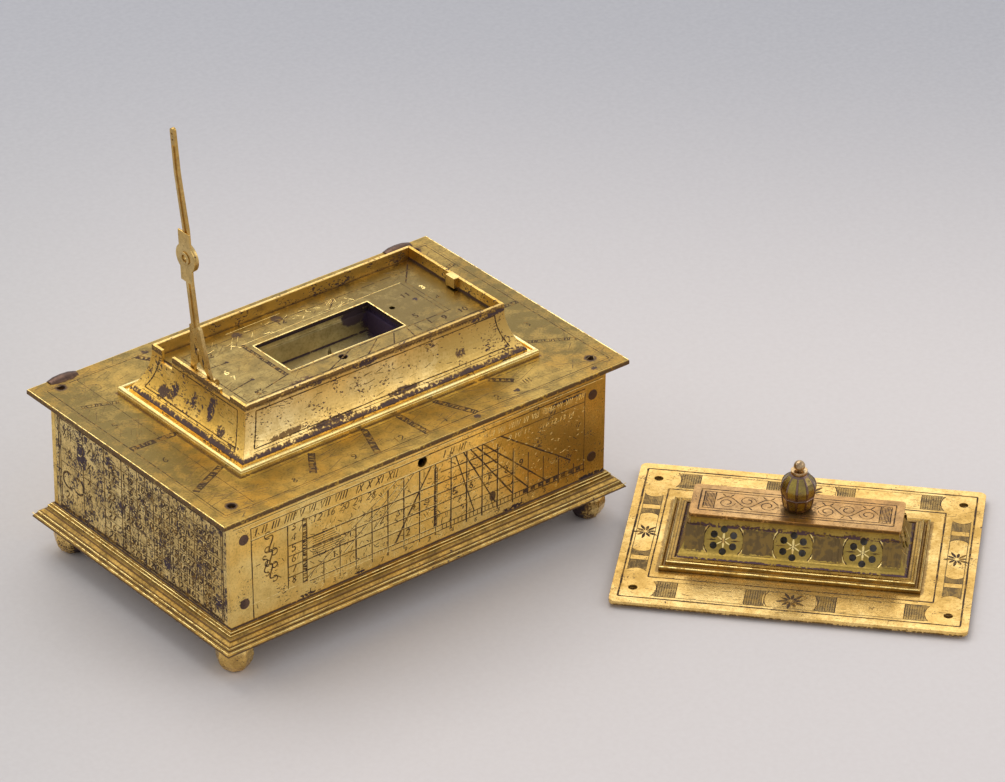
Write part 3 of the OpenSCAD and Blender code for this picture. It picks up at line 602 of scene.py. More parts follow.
class Burin:
    """Draws cuts on one face and gathers them into thin closed ridges with a lit and a shaded side."""

    proud = 0.025

    def __init__(
        self, face: Face, seed: int = 1, sunk: float = 0.012, openings: Sequence[Spot] = ()
    ) -> None:
        """Takes up the tool.

        Args:
            face: gives the point of the face for u, v and a lift.
            seed: sets the wobble of the hand.
            sunk: how far the edges of a ridge lie under the face.
            openings: where each opening in the face's rim starts and ends, and how deep it is.
        """
        self.face = face
        self.sunk = sunk
        self.openings = openings
        self.hand = random.Random(seed)
        self.verts: dict[Cut, list[Vector]] = {cut: [] for cut in Cut}
        self.faces: dict[Cut, list[tuple[int, ...]]] = {cut: [] for cut in Cut}

    def stroke(self, points: Sequence[Point], width: float | Sequence[float], cut: Cut = Cut.DARK) -> None:
        """Cuts one polyline.

        Args:
            points: its points on the face.
            width: one width, or one for each point.
            cut: how it looks.
        """
        if any(start < u < end and v < deep for start, end, deep in self.openings for u, v in points):
            return
        spread = 1.25 * (1 + self.sunk / self.proud)
        even = isinstance(width, (int, float))
        widths = [w * spread for w in ([width] * len(points) if even else width)]
        verts, faces = self.verts[cut], self.faces[cut]
        base = len(verts)
        last = len(points) - 1
        for i, (u, v) in enumerate(points):
            before, after = points[max(i - 1, 0)], points[min(i + 1, last)]
            du, dv = after[0] - before[0], after[1] - before[1]
            length = math.hypot(du, dv) or 1.0
            su, sv = -dv / length * widths[i] / 2, du / length * widths[i] / 2
            verts += [
                self.face(u + su, v + sv, -self.sunk) * MM,
                self.face(u, v, self.proud) * MM,
                self.face(u - su, v - sv, -self.sunk) * MM,
            ]
        for i in range(last):
            a, b = base + 3 * i, base + 3 * i + 3
            faces += [(a, b, b + 1, a + 1), (a + 1, b + 1, b + 2, a + 2), (a + 2, b + 2, b, a)]
        end = base + 3 * last
        faces += [(base, base + 1, base + 2), (end + 2, end + 1, end)]

    def line(
        self, start: Point, end: Point, width: float = 0.32, cut: Cut = Cut.DARK, steps: int = 0
    ) -> None:
        """Cuts a straight line, in short runs where the face is curved or the hand wavers.

        Args:
            start: its first point.
            end: its last point.
            width: its width.
            cut: how it looks.
            steps: how many runs it has; 0 picks one for each 4 mm.
        """
        count = steps or max(2, round(math.dist(start, end) / 4))
        points, widths = [], []
        for i in range(count + 1):
            t = i / count
            waver = self.hand.uniform(-0.04, 0.04) if 0 < i < count else 0.0
            points.append(
                (start[0] + (end[0] - start[0]) * t + waver, start[1] + (end[1] - start[1]) * t + waver),
            )
            widths.append(width * self.hand.uniform(0.75, 1.2))
        self.stroke(points, widths, cut)

    def level(self, v: float, reach: float, width: float) -> None:
        """Cuts a level line that stops at the openings.

        Args:
            v: how far below the rim it lies.
            reach: how far it goes to each side of the middle.
            width: its width.
        """
        stops = sorted(stop for *ends, deep in self.openings if deep > v - width for stop in ends)
        runs = [-reach, *stops, reach]
        for start, end in zip(runs[::2], runs[1::2]):
            self.line((start, v), (end, v), width)

    def frame(self, low: Point, high: Point, width: float = 0.32, cut: Cut = Cut.DARK) -> None:
        """Cuts the four sides of a rectangle.

        Args:
            low: its lowest corner.
            high: its highest corner.
            width: the lines' width.
            cut: how they look.
        """
        (u0, v0), (u1, v1) = low, high
        for start, end in (
            ((u0, v0), (u1, v0)), ((u1, v0), (u1, v1)), ((u1, v1), (u0, v1)), ((u0, v1), (u0, v0)),
        ):
            self.line(start, end, width, cut)

    def arc(
        self,
        centre: Point,
        radius: float,
        first: float,
        last: float,
        width: float = 0.28,
        cut: Cut = Cut.DARK,
    ) -> None:
        """Cuts an arc.

        Args:
            centre: its centre.
            radius: its radius.
            first: the angle where it starts, in degrees.
            last: the angle where it ends.
            width: its width.
            cut: how it looks.
        """
        count = max(5, round(abs(last - first) / 15))
        angles = [math.radians(first + (last - first) * i / count) for i in range(count + 1)]
        self.stroke(
            [(centre[0] + radius * math.cos(a), centre[1] + radius * math.sin(a)) for a in angles], width,
            cut,
        )

    def leaf(self, start: Point, end: Point, width: float, cut: Cut = Cut.DARK) -> None:
        """Cuts a lens-shaped petal from one point to another."""
        shares = ((0.0, 0.12), (0.25, 0.75), (0.55, 1.0), (0.85, 0.6), (1.0, 0.1))
        points = [
            (start[0] + (end[0] - start[0]) * t, start[1] + (end[1] - start[1]) * t)
            for t, _ in shares
        ]
        self.stroke(points, [width * w for _, w in shares], cut)

    def edges(
        self, place: Face, half: Point, lines: Iterable[Point], width: float, cut: Cut = Cut.BRIGHT
    ) -> None:
        """Runs painted highlight lines, level, along the four sides of a moulding, each on a slope of 45
        degrees.

        Args:
            place: turns a plan place and a height into the row frame.
            half: half length and half width of the rectangle that the moulding goes round.
            lines: how far out and how high each line lies.
            width: their width.
            cut: how they look.
        """
        slope = math.sqrt(0.5)
        for out, height in lines:
            for c, s, half_u, half_v in (
                (1, 0, *half), (0, 1, *half[::-1]), (-1, 0, *half), (0, -1, *half[::-1]),
            ):
                deep, reach = half_v + out, half_u + out
                flat = FlatFace((s * deep, -c * deep, height), (c, s, 0), (-s * slope, c * slope, slope))
                self.face = lambda u, v, lift, flat=flat: place(*flat(u, v, lift))
                self.line((-reach, 0), (reach, 0), width, cut)

    def star(self, centre: Point, radius: float, petals: int = 10) -> None:
        """Cuts a flower of long and short petals.

        Args:
            centre: its middle.
            radius: length of the long petals.
            petals: how many petals it has.
        """
        for i in range(petals):
            angle = 2 * math.pi * (i + 0.25) / petals
            length = radius if i % 2 else radius * 0.78
            out = (math.cos(angle), math.sin(angle))
            self.leaf(
                (centre[0] + out[0] * 0.5, centre[1] + out[1] * 0.5),
                (centre[0] + out[0] * length, centre[1] + out[1] * length),
                radius * 0.19,
            )

    def hatch(
        self, low: Point, high: Point, pitch: float, width: float, lean: float = 0.0, cut: Cut = Cut.DARK
    ) -> None:
        """Fills a rectangle with short upright cuts.

        Args:
            low: its lowest corner.
            high: its highest corner.
            pitch: distance between cuts.
            width: the cuts' width.
            lean: how far a cut's top lies further along than its foot.
            cut: how they look.
        """
        count = max(1, round((high[0] - low[0]) / pitch))
        for i in range(count + 1):
            u = low[0] + (high[0] - low[0]) * i / count
            foot = low[1] + self.hand.uniform(0, 0.08) * (high[1] - low[1])
            top = high[1] - self.hand.uniform(0, 0.08) * (high[1] - low[1])
            self.stroke([(u, foot), (u + lean, top)], width * self.hand.uniform(0.7, 1.2), cut)

    def rungs(self, start: Point, end: Point, width: float, pitch: float, cut_width: float = 0.3) -> None:
        """Cuts a band of two lines with rough cross cuts between them, as an hour line has.

        Args:
            start: middle of its first end.
            end: middle of its last end.
            width: distance between the two lines.
            pitch: distance between the cross cuts.
            cut_width: width of each cut.
        """
        length = math.dist(start, end)
        du, dv = (end[0] - start[0]) / length, (end[1] - start[1]) / length
        su, sv = -dv * width / 2, du * width / 2
        for side in (-1, 1):
            self.line(
                (start[0] + su * side, start[1] + sv * side), (end[0] + su * side, end[1] + sv * side),
                cut_width,
            )
        count = round(length / pitch)
        for i in range(count):
            t = (i + self.hand.uniform(0.1, 0.9)) / count * length
            slant = self.hand.uniform(-0.5, 0.5) * width
            self.stroke(
                [
                    (start[0] + du * t + su, start[1] + dv * t + sv),
                    (start[0] + du * (t + slant) - su, start[1] + dv * (t + slant) - sv),
                ],
                cut_width * self.hand.uniform(0.7, 1.6),
            )

    def wear(
        self,
        low: Point,
        high: Point,
        count: int,
        reach: Point,
        cut: Cut = Cut.DARK,
        lean: float = 90.0,
    ) -> None:
        """Scatters short scratches over a rectangle.

        Args:
            low: its lowest corner.
            high: its highest corner.
            count: how many scratches there are.
            reach: shortest and longest scratch.
            cut: how they look.
            lean: how far their direction strays from u, in degrees.
        """
        for _ in range(count):
            u, v = self.hand.uniform(low[0], high[0]), self.hand.uniform(low[1], high[1])
            angle = math.radians(self.hand.uniform(-lean, lean))
            length = self.hand.uniform(*reach)
            end = (u + length * math.cos(angle), v + length * math.sin(angle))
            if low[0] < end[0] < high[0] and low[1] < end[1] < high[1]:
                self.stroke([(u, v), end], self.hand.uniform(0.08, 0.2), cut)

    def vine(self, start: float, end: float, height: float, turns: int, width: float = 0.36) -> None:
        """Cuts a waving stem along u with a curl in each bend and leaves outside it.

        Args:
            start: u where it starts.
            end: u where it ends.
            height: how far it reaches to each side.
            turns: how many bends it has.
            width: width of the stem.
        """
        pitch = (end - start) / turns
        stem_steps, curl_steps, curl_angle = 40, 18, math.radians(25)
        stem = []
        for step in range(stem_steps + 1):
            walked = turns * step / stem_steps
            stem.append((start + pitch * walked, height * 0.6 * math.sin(math.pi * walked)))
        self.stroke(stem, width)
        for k in range(turns):
            middle, side = start + pitch * (k + 0.5), 1 if k % 2 == 0 else -1
            curl = []
            for step in range(curl_steps + 1):
                angle = math.pi + side * math.copysign(curl_angle * step, pitch)
                angle = angle if pitch > 0 else angle - math.pi
                radius = abs(pitch) * (0.42 - 0.28 * step / curl_steps)
                curl.append(
                    (middle + radius * math.cos(angle), -side * height * 0.2 + radius * math.sin(angle))
                )
            self.stroke(curl, [width * (0.6 + 0.5 * i / curl_steps) for i in range(curl_steps + 1)])
            for way in (-1, 1):
                self.leaf(
                    (middle + way * pitch * 0.1, side * height * 0.6),
                    (middle + way * pitch * 0.3, side * height * 0.98),
                    width * 1.3,
                )

    def scroll(self, start: Point, end: Point, bow: float, width: float = 0.25) -> None:
        """Cuts an S-shaped vine with a curl at each end.

        Args:
            start: where it starts.
            end: where it ends.
            bow: how far it bows to each side.
            width: its width.
        """
        du, dv = end[0] - start[0], end[1] - start[1]
        length = math.hypot(du, dv)
        nu, nv = -dv / length, du / length
        steps = 16
        shares = [i / steps for i in range(steps + 1)]
        points = []
        for t in shares:
            side = math.sin(2 * math.pi * t) * bow
            points.append((start[0] + du * t + nu * side, start[1] + dv * t + nv * side))
        self.stroke(points, [width * (0.5 + 0.7 * math.sin(math.pi * t)) for t in shares])
        heading = math.degrees(math.atan2(dv, du))
        for (u, v), turn in ((start, 180), (end, 0)):
            curl = bow * 0.55
            off = curl if turn else -curl
            first = heading + turn - 90
            self.arc((u + nu * off, v + nv * off), curl, first, first + 260, width * 0.8)

    def write(
        self,
        text: str,
        at: Point,
        height: float,
        width: float = 0.32,
        turn: float = 0.0,
        slant: float = 0.0,
        cut: Cut = Cut.DARK,
    ) -> float:
        """Cuts numbers.

        Args:
            text: digits, roman numerals and spaces.
            at: foot of the first one.
            height: their height.
            width: width of the cuts.
            turn: angle of the row of numbers, in degrees.
            slant: how far their tops lean along the row, as a share of the height.
            cut: how they look.

        Returns:
            The length of the row.
        """
        c, s = math.cos(math.radians(turn)), math.sin(math.radians(turn))
        pen = 0.0
        for letter in text:
            for strokes in GLYPHS.get(letter, []):
                points = []
                for u, v in strokes:
                    du, dv = pen + (u + v * slant) * height, v * height
                    points.append((at[0] + du * c - dv * s, at[1] + du * s + dv * c))
                self.stroke(points, width * self.hand.uniform(0.85, 1.2), cut)
            pen += GLYPH_WIDTH.get(letter, 0.82) * height
        return pen

    def pieces(self, name: str, body: str) -> None:
        """Turns what was cut into objects, one for each look.

        Args:
            name: start of the objects' names.
            body: the body that they ride on.
        """
        for cut, finish in CUT_FINISH.items():
            if not self.verts[cut]:
                continue
            mesh = bpy.data.meshes.new(f"{name}_{cut.value}")
            mesh.from_pydata(self.verts[cut], [], self.faces[cut])
            made = add_object(mesh.name, mesh)
            mesh.materials.append(shared_material(finish))
            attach(made, body)
            log.info("engraved %s: %d cuts' faces", made.name, len(mesh.polygons))


_made: dict[str, bpy.types.Material] = {}


def shared_material(finish: Gilding | CutMetal) -> bpy.types.Material:
    """The one material of a finish, made when it is first asked for."""
    if finish.name not in _made:
        _made[finish.name] = finish.material()
    return _made[finish.name]


@dataclass(frozen=True)
class Softening:
    """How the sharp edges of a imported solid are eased.

    Attributes:
        width: width of the eased edge.
        angle: edges sharper than this are eased, in degrees.
        join: corners nearer to each other than this become one.
        flat: faces that meet at less than this angle become one, in degrees.
        steps: how many faces the eased edge has.
    """

    width: float = 0.14
    angle: float = 28.0
    join: float = 0.002
    flat: float = 0.6
    steps: int = 2

    def apply(self, node: str) -> None:
        """Adds the modifiers to one CAD node.

        Args:
            node: its name.
        """
        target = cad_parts[node]
        weld = target.modifiers.new("join", "WELD")
        weld.merge_threshold = self.join * MM
        flat = target.modifiers.new("flatten", "DECIMATE")
        flat.decimate_type = "DISSOLVE"
        flat.angle_limit = math.radians(self.flat)
        bevel = target.modifiers.new("ease", "BEVEL")
        bevel.width = self.width * MM
        bevel.segments = self.steps
        bevel.limit_method = "ANGLE"
        bevel.angle_limit = math.radians(self.angle)
        bevel.harden_normals = True


def dress(nodes: Iterable[str], finish: Gilding, softening: Softening | None = Softening()) -> None:
    """Gives CAD nodes a finish.

    Args:
        nodes: their names.
        finish: the finish.
        softening: how their edges are eased, or None to leave them.
    """
    names = list(nodes)
    for name in names:
        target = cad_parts[name]
        target.data.materials.clear()
        target.data.materials.append(shared_material(finish))
        if softening:
            softening.apply(name)
    log.info("dressed %s in %s", ", ".join(names), finish.name)


# The box


@dataclass
class Box:
    """The casing with its four engraved faces, mouldings, feet and top plate.

    Attributes:
        half_x: half the body's length.
        half_y: half its width.
        low: where the faces show above the base moulding.
        high: where they end below the cornice; not used.
        top: height of the top plate's upper face.
        top_half: half length and half width of the top plate.
        fan: where the front face's hour lines meet.
        hour_pitch: distance between the front face's upright lines.
    """

    half_x: float = 60.5
    half_y: float = 38.0
    low: float = 14.1
    high: float = 44.5
    top: float = 47.6
    top_half: Point = (65.0, 42.0)
    fan: Point = (9.0, 48.7)
    hour_pitch: float = 5.1

    def build(self) -> None:
        """Dresses the solids and engraves the faces."""
        self.dress_solids()
        self.engrave_front()
        self.engrave_back()
        self.engrave_table("left", FlatFace((-self.half_x, 0, 0), (0, -1, 0), (0, 0, 1)), 5)
        self.engrave_table("right", FlatFace((self.half_x, 0, 0), (0, 1, 0), (0, 0, 1)), 6)
        self.engrave_top()

    def dress_solids(self) -> None:
        """Gives each solid of the casing its finish."""
        moulding = gilded(
            "gilding_of_mouldings", (184, 148, 78), (164, 126, 58), (112, 90, 48), olive_share=0.6,
            pits=0.3, pit_stretch=(2.5, 2.5, 1.0), roughness=0.36,
            # painted shade: dark bands on the moulding's steps, where their faces mirror the shadowed floor
            marks=tuple(
                Rim((self.half_x + out, self.half_y + out), reach, level, share=share, fray=0.5)
                for out, reach, level, share in (
                    (0.1, 0.35, (13.3, 15.0), 0.8), (1.8, 0.45, (10.0, 14.0), 0.6),
                    (2.8, 0.35, (10.0, 13.0), 0.5), (3.5, 0.3, (10.0, 12.0), 0.6),
                    (4.3, 0.4, (9.0, 10.3), 0.7),
                )
            ),
        )
        dress([f"base_moulding_{side}" for side in SIDES] + ["base_plate"], moulding)
        cornice = gilded(
            "gilding_of_cornice", (255, 226, 140), (244, 204, 106), olive_share=0.4, pits=0.35,
            pit_stretch=(2.5, 2.5, 1),
            # painted shadow under the top plate's overhanging edge
            marks=(Rim((61.4, 38.9), 0.4, (44.6, 46.2), share=0.75, fray=1.4),),
        )
        dress(["cornice"], cornice)
        foot = gilded(
            "gilding_of_feet", (255, 222, 146), olive_share=0.45, olive=srgb(150, 118, 72), pits=0.4,
            roughness=0.26,
            marks=(
                # painted shade: the front-right foot, and the back-left one to match, darkened as feet in
                # shadow
                Stain((55, -33, 4), 9.0, share=0.9, fray=1.0),
                Stain((-55, 33, 4), 9.0, share=0.9, fray=1.0),
                Stain((-57, -37, 8.6), 3.0, (1.6, 1.6, 0.5), 0.8),
                Stain((-53, -37.5, 2.2), 2.0, share=0.7),
            ),
        )
        dress(
            [f"foot_{a}_{b}" for a in ("front", "back") for b in ("left", "right")], foot,
            Softening(0.45, 12),
        )

        front = gilded(
            "gilding_of_front", (255, 224, 140), (255, 208, 108), (196, 160, 80), olive_share=0.35,
            pits=0.35,
            # painted shade: these olive places darken the front's right end, where it mirrors the shadowed
            # floor
            worn=(
                Stain((52, -self.half_y, 34), 30.0, (1.0, 1.0, 1.0), 0.55),
                Stain((26, -self.half_y, 36), 14.0, (1.0, 1.0, 0.6), 0.4),
            ),
            marks=(
                Rim((self.half_x, self.half_y), 1.0, (self.low - 1, self.low + 0.1), share=0.6),
                Stain((30, -self.half_y, 14.6), 3.0, (1.6, 1.0, 0.3)),
                Stain((56, -self.half_y, 14.4), 5.0, (1.4, 1.0, 0.18)),
                Stain((48, -self.half_y, 40.1), 4.0, (2.0, 1.0, 0.14)),
                Stain((23, -self.half_y, 20.5), 1.5, (1.0, 1.0, 1.3), 0.7),
                Stain((-37, -self.half_y, 14.8), 4.0, (1.0, 1.0, 0.2)),
                Stain((-20, -self.half_y, 14.8), 2.6, (1.0, 1.0, 0.2)),
            ),
        )
        dress(["front_panel"], front)
        # the back panel takes the front's painted shade as well
        dress(
            ["back_panel"], gilded("gilding_of_back", base=front, olive_share=0.7, marks=front.marks[:1]),
        )
        ends = gilded(
            "gilding_of_ends", (250, 224, 156), (238, 206, 132), (178, 152, 94), (112, 92, 62),
            (70, 56, 66), olive_share=0.6, pits=0.8, pit_stretch=(1.0, 1.0, 1.8), tarnish=0.44,
            tarnish_size=1.25, roughness=0.44,
            marks=(
                Rim((self.half_x, self.half_y), 1.0, (self.low - 1, self.low + 0.1), share=0.6),
                Stain((-self.half_x, 25, 34), 4.0, (1, 0.7, 1.6), 0.95, 3.0),
                Stain((-self.half_x, -12, 20), 3.0, (1, 1, 0.8), 0.95, 3.0),
                Stain((-self.half_x, 12, 38), 3.0, (1, 1.6, 0.7), 0.95, 3.0),
                Stain((-self.half_x, -26, 27), 3.0, share=0.95, fray=3.0),
                Stain((-self.half_x, -33, 19), 3.0, (1, 0.7, 1.4), 0.95, 3.0),
                Stain((-self.half_x, 8, 27), 2.4, share=0.9, fray=3.0),
            ),
        )
        dress(["left_panel", "right_panel"], ends)
        dress(["corner_posts"], gilded("gilding_of_posts", olive_share=0.6, pits=0.2))

        plate = gilded(
            "gilding_of_top_plate", (182, 150, 76), (178, 138, 58), (120, 102, 54), olive_share=0.6,
            pits=0.12, scratches=0.8, roughness=0.4,
            # painted shade: these olive places darken the plate's two ends and its back
            worn=(
                Stain((-62, 10, self.top), 34.0, (0.6, 1.2, 1.0), 0.7),
                Stain((60, 0, self.top), 30.0, (0.7, 1.4, 1.0), 0.6),
                Stain((0, 40, self.top), 30.0, (2.0, 0.4, 1.0), 0.4),
            ),
            marks=(
                Rim((48.2, 26.3), 0.8, share=0.6),
                # painted shadow along the lower part of the plate's edge
                Rim(self.top_half, 0.35, (46.4, 47.3), share=0.66, fray=1.8),
                Stain((-53.5, 41, self.top), 3.4, (1.5, 0.9, 1)),
                Stain((-30.5, 38.5, self.top), 1.6, share=0.8),
                Stain((-31.5, -34.3, self.top), 1.6, (1.2, 0.8, 1)),
                Stain((32.5, -35.6, self.top), 1.5, share=0.85),
                *(
                    Stain((a * 57.6, b, self.top), 2.6, share=0.8, fray=0.3)
                    for a in (-1, 1) for b in (-35.1, 37.3)
                ),
                Stain((16.5, -39.5, self.top), 1.4, share=0.8),
                Stain((55, -39.8, self.top), 1.4, share=0.8),
            ),
        )
        dress(["top_plate"], plate)
        dark = gilded(
            "dark_bronze", (124, 100, 84), (108, 84, 70), (76, 62, 58), (66, 50, 48), olive_share=0.6,
            pits=0.3, roughness=0.42,
        )
        dress(["front_pins", "back_pins", "lid_knuckles"], dark, Softening(0.1))

    def engrave_front(self) -> None:
        """Cuts the front face's hour fan, its grid, frames, scales and rows of numbers."""
        cut = Burin(FlatFace((0, -self.half_y, 0), (1, 0, 0), (0, 0, 1)), 11)
        left, right, band, foot, grid = -54.0, 53.6, 37.5, 18.7, -42.7
        fan_u, fan_v = self.fan
        # the pale cuts on this face are painted glints
        for v, end in ((41.1, 2), (band, 24)):
            cut.line((left, v), (end, v), 0.22, Cut.BRIGHT)
            cut.line((left, v - 0.25), (end, v - 0.25), 0.18)
        for v, look in ((43.9, Cut.DARK), (43.5, Cut.BRIGHT), (42.5, Cut.SHADE), (42.2, Cut.BRIGHT)):
            cut.line((-59.5, v), (59.5, v), 0.16, look)
        each(
            cut.line, ((2, 41.0), (right, 41.2), 0.26), ((24, band), (right, band - 0.2), 0.2),
            ((left, 41), (left + 0.5, self.low), 0.28), ((right, 40), (right, self.low + 2), 0.2),
            ((left, foot), (6, foot), 0.2, Cut.BRIGHT), ((-36, foot - 0.2), (right, foot - 0.2), 0.26),
            ((-35, 17.2), (6, 17.2), 0.2, Cut.BRIGHT), ((-10, 17.0), (right, 17.0), 0.26),
            ((grid, band), (grid, foot), 0.3),
        )
        for k in range(4):
            height = 31.3 - 3.1 * k
            cut.line((grid, height), (24.5 + 2.6 * k, height - 0.2), 0.24 if k else 0.3)
            cut.line((-31 + 3 * k, height + 0.25), (6, height + 0.15), 0.14, Cut.BRIGHT)
        cut.line((6, 34.3), (25, 34.0), 0.3)
        cut.line((4, 28.4), (25, 28.2), 0.12, Cut.BRIGHT)

        lowest = foot - 2.6
        for k in range(17):
            u = -31.5 + self.hour_pitch * k
            run = 0.62 if u < fan_u else 0.605
            top = min(band - 0.3, fan_v - 0.6 - abs(u - fan_u) * run - (3.2 if u > fan_u else 0))
            if top - lowest > 2:
                cut.line((u, lowest), (u, top), 0.34 if -22 < u < 30 else 0.26)
                if u < 30:
                    cut.line((u + 0.35, lowest + 1), (u + 0.35, top - 1), 0.12, Cut.BRIGHT)
        for lean in (0.33, 0.56, 0.76, 0.93, 1.12, 1.66):
            down = foot if lean < 1.2 else 21.5
            stop = min(lean * (fan_v - down), 42)
            cut.line((fan_u - 2 + lean * (fan_v - band), band), (fan_u - 2 + stop, down), 0.34)
        for lean, first, down in (
            (1.6, band, 19.8), (1.33, band, 22.5), (1.1, band, 25.8), (0.62, band, foot),
        ):
            look = Cut.BRIGHT if lean > 1 else Cut.DARK
            cut.line(
                (fan_u + 1 - lean * (fan_v - first), first), (fan_u + 1 - lean * (fan_v - down), down),
                0.26, look,
            )
            cut.line(
                (fan_u + 0.6 - lean * (fan_v - first), first - 0.3),
                (fan_u + 0.6 - lean * (fan_v - down), down), 0.24,
            )

        cut.rungs((-37.4, band), (-37.4, foot), 1.3, 0.4, 0.22)
        cut.rungs((4.4, 36), (4.2, foot), 0.8, 0.6, 0.26)
        each(
            cut.write, ("I II III IIII V VI VII VIII", (-53, 38.3), 2.1, 0.28, 0.5, 0.35),
            ("IX X XI XII", (-21.5, 38.4), 2.1, 0.26, 0.5, 0.35),
            ("I II III", (6.5, 38.2), 2.0, 0.24, 0.5, 0.35),
        )
        for k in range(3):
            cut.write("V VI VII VIII", (19.5 + 11.2 * k, 38.5), 1.6, 0.22, 0.5, 0.35, Cut.BRIGHT)
        each(
            cut.write, ("12 16 20 24 28", (-35, 35.2), 1.9, 0.24, 0, 0.3),
            ("9 10 11", (28, 35.2), 1.4, 0.22, 0, 0.3, Cut.BRIGHT),
            ("11 12 13 14", (39.2, 34.6), 1.3, 0.22, 0, 0.3, Cut.BRIGHT),
        )
        for k, v in enumerate((34.4, 30.4, 26.4)):
            cut.scroll((-49.6, v + 1.9), (-46.2, v - 2.2), 1.5 if k else 1.8, 0.34)
        cut.scroll((-50.4, 30.6), (-48.6, 26.0), 1.0, 0.3)
        for k in range(6):
            cut.write(str(8 - k), (-41.5, 20.0 + 3.1 * k), 2.0, 0.3, 0, 0.1)
        for k, (u, v) in enumerate(
            (
                (-23.6, 26.4), (-13.6, 26.6), (-8.4, 26.6), (-3.4, 26.8), (9.9, 26.0), (15.4, 25.8),
                (21.3, 25.8), (27.0, 25.8), (31.9, 26.2), (-28.7, 22.4), (-5.2, 19.6),
            ),
        ):
            cut.write(str(k % 9 + 1), (u, v), 1.8, 0.32)
        step = 1.27
        for k in range(int((right + 36.6) / step)):
            u = -36.6 + step * k
            cut.line((u, 17.2), (u, foot), 0.2, Cut.BRIGHT if u < 6 else Cut.DARK, 1)
            if u > 32 and k % 2:
                cut.hatch((u + 0.2, 17.3), (u + step - 0.2, foot - 0.3), 0.2, 0.2)
            if k % 3 == 0:
                cut.write(
                    str(k // 3 % 9 + 1), (u + 0.3, 15.1), 1.2, 0.22, 0, 0.2,
                    Cut.BRIGHT if k % 2 else Cut.DARK,
                )
        for k in range(10):
            cut.line((-35, 25.2 + 0.65 * k), (-24 - 0.5 * k, 25.2 + 0.65 * k), 0.16)
        each(
            cut.wear, ((-36, 18), (30, 37), 330, (0.4, 1.8)), ((-53, 15), (53, 41), 90, (0.4, 1.8)),
            ((-36, 16), (30, 38), 260, (0.3, 1.5), Cut.BRIGHT),
            ((30, 16), (54, 41), 130, (0.3, 0.9), Cut.BRIGHT, 50),
        )
        cut.pieces("engraving_front", "box")

    def engrave_back(self) -> None:
        """Cuts the back face, which the photograph hides: a frame and a plain hour fan."""
        cut = Burin(FlatFace((0, self.half_y, 0), (-1, 0, 0), (0, 0, 1)), 12)
        cut.frame((-54, 16.2), (54, 41.2))
        cut.frame((-53, 19.4), (53, 40.2), 0.18)
        for k in range(-6, 7):
            lean = math.tan(math.radians(12.5 * k))
            reach = min(40 - 19.4, abs(51 / lean) if k else 99)
            cut.line((lean * 3.2, 40 - 3.2), (lean * reach, 40 - reach), 0.24)
            cut.write(str((k + 11) % 12 + 1), (8.2 * k - 0.9, 16.8), 1.9, 0.24)
        cut.arc((0, 40.2), 3.2, 180, 360, 0.24)
        cut.pieces("engraving_back", "box")

    def engrave_table(self, side: str, face: FlatFace, seed: int) -> None:
        """Cuts an end face's table of numbers.

        Args:
            side: "left" or "right".
            face: the end face.
            seed: sets its numbers.
        """
        cut = Burin(face, seed)
        low, high, reach = self.low + 1.0, 41.2, 34.3
        cut.frame((-reach - 0.7, low - 0.4), (reach + 0.7, high + 0.4), 0.4)
        cut.frame((-reach, low), (reach, high), 0.26)
        columns = [-24.4, -15.2, -7.6] + [-4.4 + 3.45 * k for k in range(12)]
        rows = [low + 2.9 * k for k in range(1, 9)]
        for u in columns:
            if u < reach - 1:
                cut.line((u, low), (u, high), 0.34 if u < -7 else 0.26)
        for v in rows:
            cut.line((-15.2, v), (reach, v), 0.22, Cut.SHADE)
            for u in columns[2:]:
                if u < reach - 2 and cut.hand.random() < 0.85:
                    cut.write(str(cut.hand.randint(1, 30)), (u + 0.4, v - 2.4), 1.8, 0.42, 0, 0.1)
            cut.write(str(cut.hand.randint(1, 31)), (-13.6, v - 2.4), 2.0, 0.42, 0, 0.15)
        each(
            cut.write, ("XII", (-33, 36.5), 2.6, 0.3), ("VI", (-32, 30.5), 2.6, 0.3),
            ("24", (-32.4, 18.2), 2.3, 0.3),
        )
        for centre, first in (((-31.2, 24.0), 60), ((-26.9, 24.0), -120)):
            cut.arc(centre, 2.3, first, first + 240, 0.5)
        for k in range(5):
            cut.write("X V I"[: 2 * (k % 3) + 1], (-22.6, 17.5 + 4.6 * k), 2.1, 0.28, 0, 0.2)
        cut.line((-24.4, 28.2), (-15.2, 28.2), 0.2)
        cut.line((-34.3, 28.6), (-24.4, 28.6), 0.2)
        # the pale scratches are painted glints
        each(
            cut.wear, ((-reach, low), (reach, high), 420, (0.3, 1.3)),
            ((-reach, low), (reach, high), 320, (0.3, 1.6), Cut.BRIGHT, 12),
            ((-37.5, low), (37.5, high), 200, (0.4, 1.8), Cut.SHADE),
        )
        cut.pieces(f"engraving_{side}", "box")

